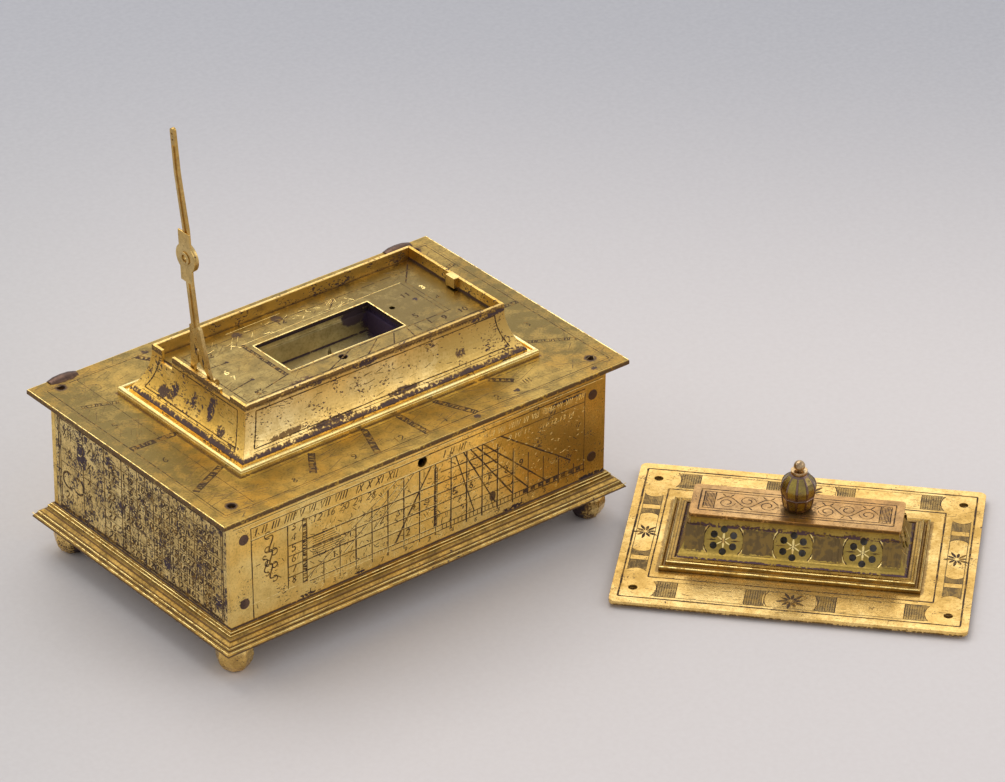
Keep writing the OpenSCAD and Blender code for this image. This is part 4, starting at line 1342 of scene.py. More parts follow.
    def engrave_top(self) -> None:
        """Cuts the top plate's frame, its hour bands and numbers, and lays painted highlight lines along
        its edges and the mouldings.
        """
        cut = Burin(FlatFace((0, 0, self.top), (1, 0, 0), (0, 1, 0)), 13)
        half_x, half_y = self.top_half[0] - 3.6, self.top_half[1] - 4.0
        cut.frame((-half_x, -half_y), (half_x, half_y), 0.22)
        cut.frame((-half_x - 0.8, -half_y - 0.7), (half_x + 0.8, half_y + 0.7), 0.14, Cut.SHADE)
        cut.line((-52.3, -half_y), (-52.3, half_y), 0.14)
        cut.line((-46, -27.6), (46, -27.6), 0.14)
        bands = (
            ((-27.2, -27.6), (-32.6, -35.4)), ((-10.0, -27), (-14.2, -half_y)),
            ((1.0, -27), (1.8, -half_y)), ((12.6, -27), (17.6, -half_y)), ((30.0, -27.2), (35.0, -31.6)),
            ((-48.6, 1.0), (-half_x, 1.7)), ((-48.6, -18.6), (-60.6, -24.4)),
            ((-27.2, 27.6), (-33.6, half_y)), ((-10.0, 27), (-14.2, half_y)), ((1.0, 27), (1.8, half_y)),
            ((12.6, 27), (17.6, half_y)), ((30.0, 27.2), (37.4, half_y)),
        )
        for start, end in bands:
            cut.rungs(start, end, 1.5, 0.6, 0.34)
        for start, end in (
            ((-50, 22.4), (-59.6, 26)), ((49.6, -18.4), (61, -25)), ((49, 22), (61, 25.4)),
            ((49, -0.6), (61.4, -0.8)),
        ):
            cut.rungs(start, end, 1.2, 0.8, 0.2)
        for text, at in (
            ("8", (-39, -36.2)), ("9", (-20.6, -36.6)), ("12", (-7.4, -36.8)), ("1", (8.4, -36.8)),
            ("2", (25.6, -36.4)), ("III", (36.2, -34.8)), ("6", (-58.4, -8.6)), ("5", (-58.6, 12.4)),
            ("10", (-22.4, 34.2)), ("11", (-6.6, 34.6)), ("4", (56.4, 9.6)), ("3", (55.2, -12.6)),
        ):
            cut.write(text, at, 2.1, 0.28, 0, 0.15)
        # painted highlights: pale lines along the top plate's outer edges
        for side in (-1, 1):
            cut.line((side * 64.8, -41.8), (side * 64.8, 41.8), 0.13, Cut.BRIGHT)
            cut.line((-64.8, side * 41.8), (64.8, side * 41.8), 0.09, Cut.BRIGHT)
        each(
            cut.wear, ((-64, -41), (64, -27), 130, (1.0, 9.0), Cut.SHADE, 30),
            ((-64, -41), (-49, 41), 110, (1.0, 9.0), Cut.SHADE, 60),
            ((49, -41), (64, 41), 60, (1.0, 6.0), Cut.SHADE, 60),
            ((-60, 27), (60, 41), 60, (1.0, 6.0), Cut.SHADE, 60),
        )
        # painted highlights along the steps of the base moulding and the cornice
        cut.edges(
            lambda a, b, z: Vector((a, b, z)), (self.half_x, self.half_y),
            ((1.31, 13.14), (0.79, 13.68), (3.2, 11.05), (4.22, 10.45), (1.55, 45.5)), 0.11,
        )
        cut.pieces("engraving_top", "box")


# The tray


@dataclass(frozen=True)
class HollowWall:
    """The hollow outer face of one tray wall, unrolled.

    Attributes:
        side: "front", "back", "left" or "right".
        rim_half: half length and half width of the tray's rim.
        top: height of the tray's foot.
        band: height of the upright band below the rim.
        radius: radius of the hollow.
        rise: height of the rim above the foot.
    """

    side: str
    rim_half: Point = (41.5, 19.65)
    top: float = 47.6
    band: float = 1.3
    radius: float = 18.34
    rise: float = 15.0

    def __call__(self, u: float, v: float, lift: float) -> Vector:
        """The point u along the wall and v down its section, raised off it by lift."""
        if v <= self.band:
            out, up, normal_out, normal_up = 0.0, self.rise - v, 1.0, 0.0
        else:
            angle = (v - self.band) / self.radius
            out = self.radius * (1 - math.cos(angle))
            up = self.rise - self.band - self.radius * math.sin(angle)
            normal_out, normal_up = math.cos(angle), math.sin(angle)
        out, up = out + lift * normal_out, up + lift * normal_up + self.top
        half_x, half_y = self.rim_half
        return {
            "front": Vector((u, -half_y - out, up)),
            "back": Vector((-u, half_y + out, up)),
            "left": Vector((-half_x - out, -u, up)),
            "right": Vector((half_x + out, u, up)),
        }[self.side]

    def outward(self, v: float) -> float:
        """How far the section has come outward at v."""
        return self.radius * (1 - math.cos(max(0.0, v - self.band) / self.radius))


@dataclass
class Tray:
    """The shallow tray with its hollow walls, floor, compass well, catch and hinge lug.

    Attributes:
        floor: height of the tray's floor.
        rim: height of its rim.
        top: height of the plate that it stands on.
        notch_in: distance of the left wall's deep notch from the back of the rim.
        notch_width: its width.
        nick_in: distance of the left wall's shallow notch from the front of the rim.
        nick_width: its width.
        nick_depth: its depth.
        catch_half: half the width of the catch block's opening in the right wall.
    """

    floor: float = 59.15
    rim: float = 62.6
    top: float = 47.6
    notch_in: float = 4.2
    notch_width: float = 4.4
    nick_in: float = 6.4
    nick_width: float = 4.2
    nick_depth: float = 1.0
    catch_half: float = 1.83

    def build(self) -> None:
        """Dresses the solids and engraves walls and floor."""
        self.dress_solids()
        for seed, side in enumerate(SIDES):
            self.engrave_wall(side, 20 + seed)
        self.engrave_floor()

    def dress_solids(self) -> None:
        """Gives each solid of the tray its finish."""
        grime = Rim((45.8, 24.0), 1.6, (self.top + 1.9, self.top + 3.0), share=0.85, fray=1.4)
        wall = gilded(
            "gilding_of_long_walls", (255, 226, 156), (248, 208, 124), (204, 170, 96), (140, 108, 60),
            (78, 60, 62), olive_share=0.45, pits=0.52, pit_size=0.5, pit_stretch=(1.5, 1.0, 0.9),
            scratches=0.5, roughness=0.38,
            worn=(
                Stain((34, -22, 56), 26.0, (1.0, 1.0, 1.0), 0.9),
                Stain((0, -20, 62), 20.0, (3, 1, 0.06), 0.8),
                Stain((0, 18.6, 61), 3.0, (20, 0.25, 1), 1.0),
            ),
            marks=(
                grime, Rim((41.5, 19.65), 0.4, (61.2, 62.5), share=0.55, fray=1.8),
                Stain((6, -24.0, 51.4), 6.0, (1.3, 1, 0.2), 0.8, 1.5),
                Stain((-17, -24.4, 50.9), 8.0, (1.3, 1, 0.16), 0.8, 1.6),
                Stain((-30, -23, 52), 6.0, (1.3, 1, 0.2), 0.6, 1.6),
                Stain((-4, -20, 61.6), 4.0, (1.6, 1, 0.36), 0.9, 2.0),
                Stain((36, -20, 61.2), 7.0, (1.4, 1, 0.2), 0.9, 2.0),
                Stain((-21, -19.8, 61.4), 4.0, (1.5, 1, 0.3), 0.8, 2.0),
                Stain((26, -22, 54.4), 2.2, (1.2, 1, 0.8), 0.8, 2.0),
            ),
        )
        dress(["tray_wall_front", "tray_wall_back"], wall)
        end = gilded(
            "gilding_of_end_walls", (255, 220, 132), (244, 196, 92), (200, 160, 76), base=wall, pits=0.6,
            pit_size=0.6, pit_stretch=(1.0, 1.4, 1.0),
            worn=(Stain((-42, -4, 58), 9.0, (1, 2.0, 0.6), 0.6),),
            marks=(
                grime, Rim((41.5, 19.65), 0.4, (61.2, 62.5), share=0.6, fray=1.8),
                Stain((-43.5, 8.5, 55.4), 3.0, (1, 0.8, 1.2), 0.9, 2.2),
                Stain((-43.2, 0.5, 56.0), 2.6, (1, 0.7, 1.4), 0.9, 2.2),
                Stain((-43.0, -6.5, 56.5), 3.4, (1, 0.6, 1.5), 0.9, 2.2),
                Stain((-44, -12, 53), 2.4, (1, 1.0, 1.0), 0.8, 2.2),
                Stain((-44.5, 12, 53), 3.4, (1, 1.2, 0.9), 0.8, 2.2),
                Rim((40.6, 18.75), 0.7, (self.floor - 0.2, self.floor + 0.5), share=0.8),
            ),
        )
        dress(["tray_wall_left", "tray_wall_right"], end)
        bead = gilded(
            "gilding_of_beads", (255, 238, 170), (255, 228, 146), (222, 186, 104), olive_share=0.3,
            pits=0.08, roughness=0.3,
        )
        dress([f"tray_bead_{side}" for side in SIDES], bead, Softening(0.3, 20))
        floor = gilded(
            "gilding_of_floor", (162, 140, 82), (154, 126, 62), (116, 98, 54), olive_share=0.7, pits=0.12,
            # painted shade: the olive place darkens the floor's right end against the lamp's reflection
            # there
            scratches=0.55, worn=(Stain((30, 4, self.floor), 24.0, (1.0, 1.0, 1.0), 0.7),),
            marks=(
                Rim((40.6, 18.75), 0.9, share=0.7),
                # painted shade on the cut edge of the well's opening
                Rim((18.2, 7.75), 0.5, (57.0, 58.8), share=0.95, fray=0.3),
                Stain((-18.5, 14.8, self.floor), 2.2, share=0.75),
                Stain((-5.6, 15.4, self.floor), 2.2, (1, 1.4, 1), 0.75),
                Stain((-3.9, -10.7, self.floor), 1.9), Stain((28.8, 0.9, self.floor), 1.2),
                Stain((-28.5, 5.3, self.floor), 0.8), Stain((-28.5, -5.4, self.floor), 0.8),
                Stain((-19, -14.8, self.floor), 4.0, (1.6, 1, 1), 0.7),
            ),
        )
        dress(["tray_floor"], floor)
        well = gilded(
            "tarnish_and_shade_in_the_well", (216, 204, 160), (206, 188, 140), (172, 156, 114), (96, 80, 72),
            (70, 54, 78), olive_share=0.6, pits=0.1, roughness=0.5,
            marks=(
                Stain((19, 2, 54), 7.0, (1, 1.8, 1), fray=0.5),
                Stain((14, 8, 56), 6.0, (1, 1, 0.6), 0.7, 0.5),
                # painted shade along the well's bottom corners
                Rim((18.2, 7.75), 0.5, (50.0, 50.9), share=0.7),
            ),
        )
        dress(["compass_box"], well)
        bright = gilded("gilding_of_small_parts", pits=0.05, olive_share=0.3)
        dress(["catch_block", "hinge_lug"], bright, Softening(0.12))
        dress(["compass_pivot"], gilded("dark_pivot", (84, 70, 56), (70, 56, 44), base=well))

    def openings(self, side: str) -> list[Spot]:
        """Lists where a wall is cut open at its rim.

        Args:
            side: which wall.

        Returns:
            For each opening where it starts and ends along the wall, and how deep it is.
        """
        half = HollowWall.rim_half[1]
        notch, nick, deep = self.notch_in - half, half - self.nick_in, self.rim - self.floor
        return {
            "left": [
                (notch, notch + self.notch_width, deep),
                (nick - self.nick_width, nick, self.nick_depth),
            ],
            "right": [(-self.catch_half, self.catch_half, deep)],
        }.get(side, [])

    def engrave_wall(self, side: str, seed: int) -> None:
        """Cuts the framed panel on a wall's hollow face.

        Args:
            side: which wall.
            seed: sets the wobble of its lines.
        """
        face = HollowWall(side)
        half = face.rim_half[0] if side in ("front", "back") else face.rim_half[1]
        cut = Burin(face, seed, 0.03, self.openings(side))
        high, low, inset, steps = 2.4, 11.6, 3.3, 8
        for v, width in ((high, 0.3), (low, 0.3), (12.4, 0.16)):
            cut.level(v, half - inset + face.outward(v), width)
        for end in (-1, 1):
            heights = [high + (low - high) * t / steps for t in range(steps + 1)]
            points = [(end * (half - inset + face.outward(v)), v) for v in heights]
            cut.stroke(points, 0.3)
        cut.level(1.0, half - 0.4, 0.16)
        cut.wear((-half, 0.5), (half, 13), 60, (0.4, 3.0), Cut.SHADE, 20)
        cut.wear((-half, 2.5), (half, 13), 40, (0.3, 1.2), Cut.DARK, 20)
        cut.pieces(
            f"engraving_tray_{side}", "box",
        )

    def engrave_floor(self) -> None:
        """Cuts the hour lines, frames and numbers round the compass well."""
        cut = Burin(FlatFace((0, 0, self.floor), (1, 0, 0), (0, 1, 0)), 31)
        each(
            cut.line, ((-36.2, -13.7), (-36.2, 14.2), 0.3), ((-36.2, -13.7), (38.5, -13.7), 0.28),
            ((-36.2, 14.2), (38.5, 14.2), 0.2),
        )
        # the pale cuts here are painted glints; the pale frame round the well's opening is a painted
        # highlight
        cut.frame((-18.4, -7.95), (18.4, 7.95), 0.26, Cut.BRIGHT)
        cut.rungs((-20.5, -8.8), (-20.5, 9.6), 0.9, 0.6, 0.28)
        each(
            cut.line, ((-19, -8.75), (32.5, -8.75), 0.26), ((-20.5, 10.0), (31, 10.2), 0.16, Cut.BRIGHT),
            ((-20.5, 16.8), (-3, 16.9), 0.14, Cut.BRIGHT),
        )
        for u in (30.9, 32.2):
            cut.line((u, -8.75), (u, 10), 0.16)
        for start, end in (
            ((-33.6, 5.5), (-28.4, 5.3)), ((-35.8, -6.7), (-28.4, -5.4)), ((-28.6, -10.9), (-19.6, -8.8)),
            ((-10.2, -13.6), (-0.2, -8.9)), ((2.0, -13.6), (8.2, -9.0)), ((10.4, -13.5), (13.6, -9.2)),
            ((17.0, -13.6), (17.8, -9.1)), ((20.2, -12.4), (20.3, -9.2)), ((24.4, -11.5), (24.6, -9.2)),
            ((32.4, 9.6), (40.0, 18.2)), ((-36, 12), (-29.6, 9.4)), ((8, 10.4), (12, 14)),
        ):
            cut.line(start, end, 0.3)
        for text, at, look in (
            ("8", (-32.2, -12.4), Cut.DARK), ("7", (-32.4, -2.8), Cut.BRIGHT),
            ("6", (-32.4, 0.4), Cut.BRIGHT), ("10", (33.6, -11.6), Cut.DARK),
            ("9", (28.2, -11.8), Cut.DARK), ("3", (33.4, 4.0), Cut.BRIGHT), ("4", (33.4, -2.4), Cut.DARK),
            ("5", (22.8, -6.6), Cut.DARK), ("2", (-30.4, 9.8), Cut.DARK), ("11", (26.6, 3.4), Cut.DARK),
            ("12", (-7, 12.2), Cut.DARK),
        ):
            cut.write(text, at, 1.8, 0.34, 0, 0.1, look)
        cut.star((-30.6, -11.4), 1.7, 8)
        each(
            cut.wear, ((-38, -17), (38, -9), 60, (0.6, 4.0), Cut.SHADE, 40),
            ((-38, 9), (38, 17), 90, (0.6, 5.0), Cut.SHADE, 40),
            ((-34, 9), (20, 16), 40, (0.6, 3.0), Cut.BRIGHT, 60),
            ((-38, -14), (-20, 14), 60, (0.6, 3.0), Cut.SHADE, 90),
        )
        cut.hatch((9, 12.6), (11.8, 14.6), 0.5, 0.16, 0.6, Cut.BRIGHT)
        cut.pieces("engraving_floor", "box")


# The gnomon


@dataclass
class Gnomon:
    """The folding blade with its sighting disc.

    Attributes:
        softening: how its edges are eased.
    """

    softening: Softening = Softening(0.1)

    def build(self) -> None:
        """Dresses the blade, disc, eyelet and hinge pin."""
        blade = gilded(
            "gilding_of_gnomon", (226, 196, 130), (212, 174, 98), (164, 136, 82), olive_share=0.5,
            pits=0.15, pit_size=0.5, roughness=0.32,
            marks=(
                Stain((-41, -1.0, 66), 1.2, (1, 0.6, 2.6)), Stain((-41, 1.6, 69), 1.0, (1, 0.5, 2.8)),
                Stain((-40, 0.8, 74), 1.0, (1, 0.6, 2.0)), Stain((-43, 2.6, 95), 1.2, (1, 0.7, 1.4), 0.9),
            ),
        )
        dress(["gnomon_blade", "sighting_disc", "disc_eyelet", "hinge_pin"], blade, self.softening)


# The cover


def fall(radius: float, off: float) -> float:
    """How far a circle falls back from its edge at a distance off its middle line."""
    return radius - math.sqrt(max(0.0, radius * radius - off * off))


@dataclass(frozen=True)
class CasketWall:
    """The curved outer face of one casket wall of the cover, unrolled from the middle of its rosettes.

    Attributes:
        side: "front", "back", "left" or "right".
        place: gives the row-frame point of a place in the cover's own frame.
        top_half: half length and half width at the top.
        foot_half: half length and half width at the foot.
        low: height above the plate where the flare ends.
        high: height above the plate of the walls' top.
        rosette: height above the plate of the long walls' rosettes.
        curve: radius of the hollow for a drop of 1.
    """

    side: str
    place: Callable[[float, float, float], Vector]
    top_half: Point = (26.85, 6.7)
    foot_half: Point = (29.95, 13.5)
    low: float = 1.9
    high: float = 11.0
    rosette: float = 5.5
    curve: float = 1.25

    def section(self, v: float) -> tuple[float, float, float, float]:
        """Where the section is at v.

        Args:
            v: distance down the face from the middle of its rosettes.

        Returns:
            How far out it is, its height above the plate, and its normal's two parts.
        """
        end_on = self.side in ("left", "right")
        reach = self.foot_half[not end_on] - self.top_half[not end_on]
        tall = self.high - self.low

        def at(share: float) -> tuple[float, float]:
            """The section's outward place and height, share of the way down."""
            return reach * fall(self.curve, share) / fall(self.curve, 1), self.high - tall * share

        steps = 60
        share, walked = 0.5 if end_on else (self.high - self.rosette) / tall, 0.0
        step = (1 if v > 0 else -1) / (2 * steps)
        out, up = at(share)
        while walked < abs(v) and 0 <= share + step <= 1:
            next_out, next_up = at(share + step)
            walked += math.hypot(next_out - out, next_up - up)
            share, out, up = share + step, next_out, next_up
        nearby = at(min(1.0, share + 0.01))
        run, drop = nearby[0] - out, up - nearby[1]
        length = math.hypot(run, drop) or 1.0
        return out, up, drop / length, run / length

    def __call__(self, u: float, v: float, lift: float) -> Vector:
        """The point u along the wall and v up its face, raised off it by lift."""
        out, up, normal_out, normal_up = self.section(-v)
        out, up = out + lift * normal_out, up + lift * normal_up
        half_a, half_b = self.top_half
        a, b = {
            "front": (u, -half_b - out), "back": (-u, half_b + out),
            "left": (-half_a - out, -u), "right": (half_a + out, u),
        }[self.side]
        return self.place(a, b, up)


@dataclass
class Cover:
    """The cover, lying beside the box: engraved plate, moulding, pierced casket and acorn finial.

    Attributes:
        centre: plan centre of its plate.
        turn: its angle about the vertical, in degrees.
        plate: height of the plate's upper face.
        casket: plan offset of the casket on the plate.
        slab: height of the casket's upper face.
        slab_half: half length and half width of the casket's cap.
        rosette_pitch: distance between the rosettes of a long wall.
        hole: how far the corner holes lie from the plate's middle, along and across.
    """

    centre: Point = (88.9, -83.8)
    turn: float = -48.1
    plate: float = 2.2
    casket: Point = (-1.2, -0.7)
    slab: float = 14.2
    slab_half: Point = (27.45, 7.3)
    rosette_pitch: float = 18.0
    hole: Point = (40.35, 26.8)

    def at(self, a: float, b: float, z: float) -> Vector:
        """Turns a place on the cover into the row frame."""
        c, s = math.cos(math.radians(self.turn)), math.sin(math.radians(self.turn))
        return Vector((self.centre[0] + a * c - b * s, self.centre[1] + a * s + b * c, z))

    def on_casket(self, a: float, b: float, up: float) -> Vector:
        """Turns a place on the casket, up above the plate, into the row frame."""
        return self.at(a + self.casket[0], b + self.casket[1], self.plate + up)

    def face(self, z: float, offset: Point = (0.0, 0.0)) -> Face:
        """A level face of the cover, z high, with its middle at an offset from the plate's."""
        return lambda u, v, lift: self.at(u + offset[0], v + offset[1], z + lift)

    def build(self) -> None:
        """Dresses the solids, engraves them and makes the finial."""
        self.dress_solids()
        self.engrave_plate()
        self.engrave_casket()
        self.engrave_cap()
        Finial(self).build()

    def dress_solids(self) -> None:
        """Gives each solid of the cover its finish."""
        middle = tuple(self.at(*self.casket, 0).xy)
        pale = gilded(
            "gilding_of_cover_plate", (252, 218, 142), (246, 204, 120), (194, 154, 76), olive_share=0.45,
            pits=0.28, scratches=0.4, roughness=0.28, turn=self.turn,
            worn=tuple(
                Stain((*self.at(a * 39, b * 15, 0).xy, 1.6), 16.0, share=0.55)
                for a in (-1, 1) for b in (-1, 1)
            ),
            marks=(
                # painted shade on the plate round the foot of the casket's moulding
                Rim((33.9, 17.4), 1.4, (2.0, 3.0), middle, self.turn, 0.35, 0.8),
                Rim((45.9, 34.1), 0.4, (0.5, 1.3), self.centre, self.turn, 0.5, 1.6),
                *(
                    Stain((*self.at(a * self.hole[0], b * self.hole[1], 0).xy, 1.6), 1.8, fray=0.3)
                    for a in (-1, 1) for b in (-1, 1)
                ),
            ),
        )
        dress(["cover_plate", "cover_lip"], pale, Softening(0.25))
        moulding = gilded(
            "gilding_of_cover_moulding", (180, 144, 72), (162, 124, 54), (120, 94, 46), base=pale,
            worn=(), olive_share=0.6,
            marks=(
                Rim((30.1, 13.7), 0.3, (2.0, 5.2), middle, self.turn, 0.5, 0.6),
                Rim((32.4, 16.0), 0.35, (2.0, 5.2), middle, self.turn, 0.5, 0.5),
            ),
        )
        dress([f"cover_moulding_{side}" for side in SIDES], moulding)
        walls = gilded(
            "gilding_of_casket", (178, 150, 78), (166, 136, 62), (132, 112, 54), dirt=srgb(74, 52, 72),
            olive_share=0.5, pits=0.2, roughness=0.36, turn=self.turn,
            marks=(
                Rim((29.6, 13.2), 0.8, (3.9, 5.2), middle, self.turn, 0.85, 2.4),
                Rim((27.2, 7.2), 0.55, (10.6, 13.2), middle, self.turn, 0.8, 3.0),
            ),
        )
        dress([f"casket_{side}" for side in SIDES], walls)
        cap = gilded(
            "gilding_of_cap", (210, 170, 112), (196, 150, 90), (146, 112, 70), base=pale, worn=(),
            olive_share=0.55, roughness=0.32,
            marks=(
                Rim((27.6, 7.4), 0.4, (13.1, 13.8), middle, self.turn, 0.6),
                Stain((middle[0], middle[1], 14.2), 8.0, share=0.5),
            ),
        )
        dress(["casket_top"], cap, Softening(0.3))

    def engrave_plate(self) -> None:
        """Cuts the plate's frames, flowers, round fields and shaded bars."""
        cut = Burin(self.face(self.plate), 41)
        cut.frame((-43.7, -31.3), (43.7, 31.3), 0.42)
        cut.frame((-37.1, -21.3), (36.1, 22.0), 0.38)
        for end in (-1, 1):
            for v in (30.2, 23.0):
                cut.line((-34.6, end * v), (34.6, end * v), 0.2, Cut.SHADE)
            for u in (42.9, 38.1):
                cut.line((end * u, -18), (end * u, 18), 0.2, Cut.SHADE)
            self.long_strip(cut, end)
            self.short_strip(cut, end)
        cut.wear((-45, -33), (45, -18), 90, (0.4, 2.5), Cut.SHADE, 25)
        cut.wear((-45, 18), (45, 33), 60, (0.4, 2.5), Cut.SHADE, 25)
        cut.pieces("engraving_plate", "cover")

    def long_strip(self, cut: Burin, end: int) -> None:
        """Cuts the ornament along one long side of the plate.

        Args:
            cut: the tool on the plate.
            end: -1 for the side towards the viewer, 1 for the other.
        """
        inner, outer, rows = 23.1, 30.1, 14
        ring, corner_ring, corner = 6.9, 6.3, 40.6
        ring_bar, corner_bar, ring_start = (6.6, 11.6), (29.2, 34.2), 7.2
        low, high = sorted((end * inner, end * outer))
        middle = end * (inner + outer) / 2
        cut.star((0.2, middle), 3.9, 10)
        for side in (-1, 1):
            cut.arc((0.2, middle), ring, 90 * side - 90 - 31, 90 * side - 90 + 31, 0.2)
            cut.arc((side * corner, middle), corner_ring, 90 + 90 * side - 34, 90 + 90 * side + 34, 0.2)
            for near, far in (ring_bar, corner_bar):
                by_ring = near == ring_bar[0]
                for row in range(rows):
                    v = low + (high - low) * (row + 0.5) / rows
                    start = ring_start - fall(ring, v - middle) if by_ring else near
                    stop = far if by_ring else far + fall(corner_ring, v - middle)
                    width = 0.34 * cut.hand.uniform(0.8, 1.1)
                    cut.stroke([(side * start, v), (side * stop, v)], width, Cut.SHADE)
                edge = side * (far if by_ring else near)
                cut.line((edge, low), (edge, high), 0.24)
                first, last = sorted((side * near, side * far))
                cut.hatch((first, low), (last, high), 0.62, 0.16)

    def short_strip(self, cut: Burin, end: int) -> None:
        """Cuts the ornament along one short side of the plate.

        Args:
            cut: the tool on the plate.
            end: -1 for the left side, 1 for the right.
        """
        middle, ring, rows, half = end * 40.5, 3.2, 12, 2.3
        ring_bar, corner_bar = (9.4, 11.4), (13.6, 17.4)
        cut.star((middle, 0.2), 3.6, 10)
        for side in (-1, 1):
            cut.arc((middle, side * 6.3), ring, 90 * side - 52, 90 * side + 52, 0.22)
            cut.arc((middle, side * 20.6), ring, -90 * side - 52, -90 * side + 52, 0.22)
            for near, far in (ring_bar, corner_bar):
                by_ring = near == ring_bar[0]
                for row in range(rows):
                    off = half * ((2 * row + 1) / rows - 1)
                    start = near - fall(ring, off) if by_ring else near
                    stop = far if by_ring else far + fall(ring, off)
                    bar = [(middle + off, side * start), (middle + off, side * stop)]
                    cut.stroke(bar, 0.3 * cut.hand.uniform(0.8, 1.1), Cut.SHADE)
                    if row % 2:
                        cut.stroke(bar, 0.14)
                edge = side * (far if by_ring else near)
                cut.line((middle - half - 0.1, edge), (middle + half + 0.1, edge), 0.24)

    def engrave_casket(self) -> None:
        """Cuts the rosettes' rings and spokes and the shaded bars between them."""
        for seed, side in enumerate(SIDES):
            face = CasketWall(side, self.on_casket)
            cut = Burin(face, 50 + seed, 0.03)
            long = side in ("front", "back")
            middles = [-self.rosette_pitch, 0.0, self.rosette_pitch] if long else [0.0]
            for u in middles:
                # the pale spokes and arcs are painted glints
                for k in range(6):
                    angle = math.radians(60 * k + 90)
                    cut.stroke(
                        [(u, 0), (u + 1.9 * math.cos(angle), 1.9 * math.sin(angle))], 0.2, Cut.BRIGHT,
                    )
                cut.arc((u, 0), 0.35, 0, 360, 0.5)
                for way in (-1, 1):
                    cut.leaf((u + way * 1.9, 0), (u + way * 4.4, 0), 0.34)
                    cut.arc((u, 0), 5.5, 90 - 90 * way - 40, 90 - 90 * way + 40, 0.16, Cut.BRIGHT)
                    cut.arc((u, 0), 5.2, 90 - 90 * way - 42, 90 - 90 * way + 42, 0.2)
            if long:
                for first, last in ((-12.6, -5.4), (5.4, 12.6), (-27.6, -23.4), (23.4, 27.6)):
                    cut.hatch((first, -3.3), (last, 3.5), 0.42, 0.24, 0.0, Cut.SHADE)
                    cut.line((first, 3.6), (last, 3.6), 0.2)
                    cut.line((first, -3.4), (last, -3.4), 0.2)
            # painted highlights along the steps of the cover's moulding
            if side == "right":
                cut.edges(
                    self.on_casket, CasketWall.foot_half, ((3.65, 1.11), (2.03, 1.98)), 0.1
                )
            cut.pieces(f"engraving_casket_{side}", "cover")

    def engrave_cap(self) -> None:
        """Cuts the cap's double frame, its shaded ends and the vine between them."""
        cut = Burin(self.face(self.slab, self.casket), 61)
        half_a, half_b = self.slab_half
        cut.frame((-half_a + 2.2, -half_b + 2.2), (half_a - 2.2, half_b - 2.2), 0.32)
        cut.frame((-half_a + 3.2, -half_b + 3.3), (half_a - 3.2, half_b - 3.3), 0.26)
        inner_a, inner_b = half_a - 3.4, half_b - 3.5
        for side in (-1, 1):
            low, high = sorted((side * inner_a, side * (inner_a - 2.6)))
            cut.hatch((low, -inner_b), (high, inner_b), 0.36, 0.22)
            cut.line((side * (inner_a - 2.7), -inner_b), (side * (inner_a - 2.7), inner_b), 0.2)
            cut.vine(side * 5.0, side * (inner_a - 3.2), inner_b - 0.2, 3, 0.28)
        cut.pieces("engraving_cap", "cover")


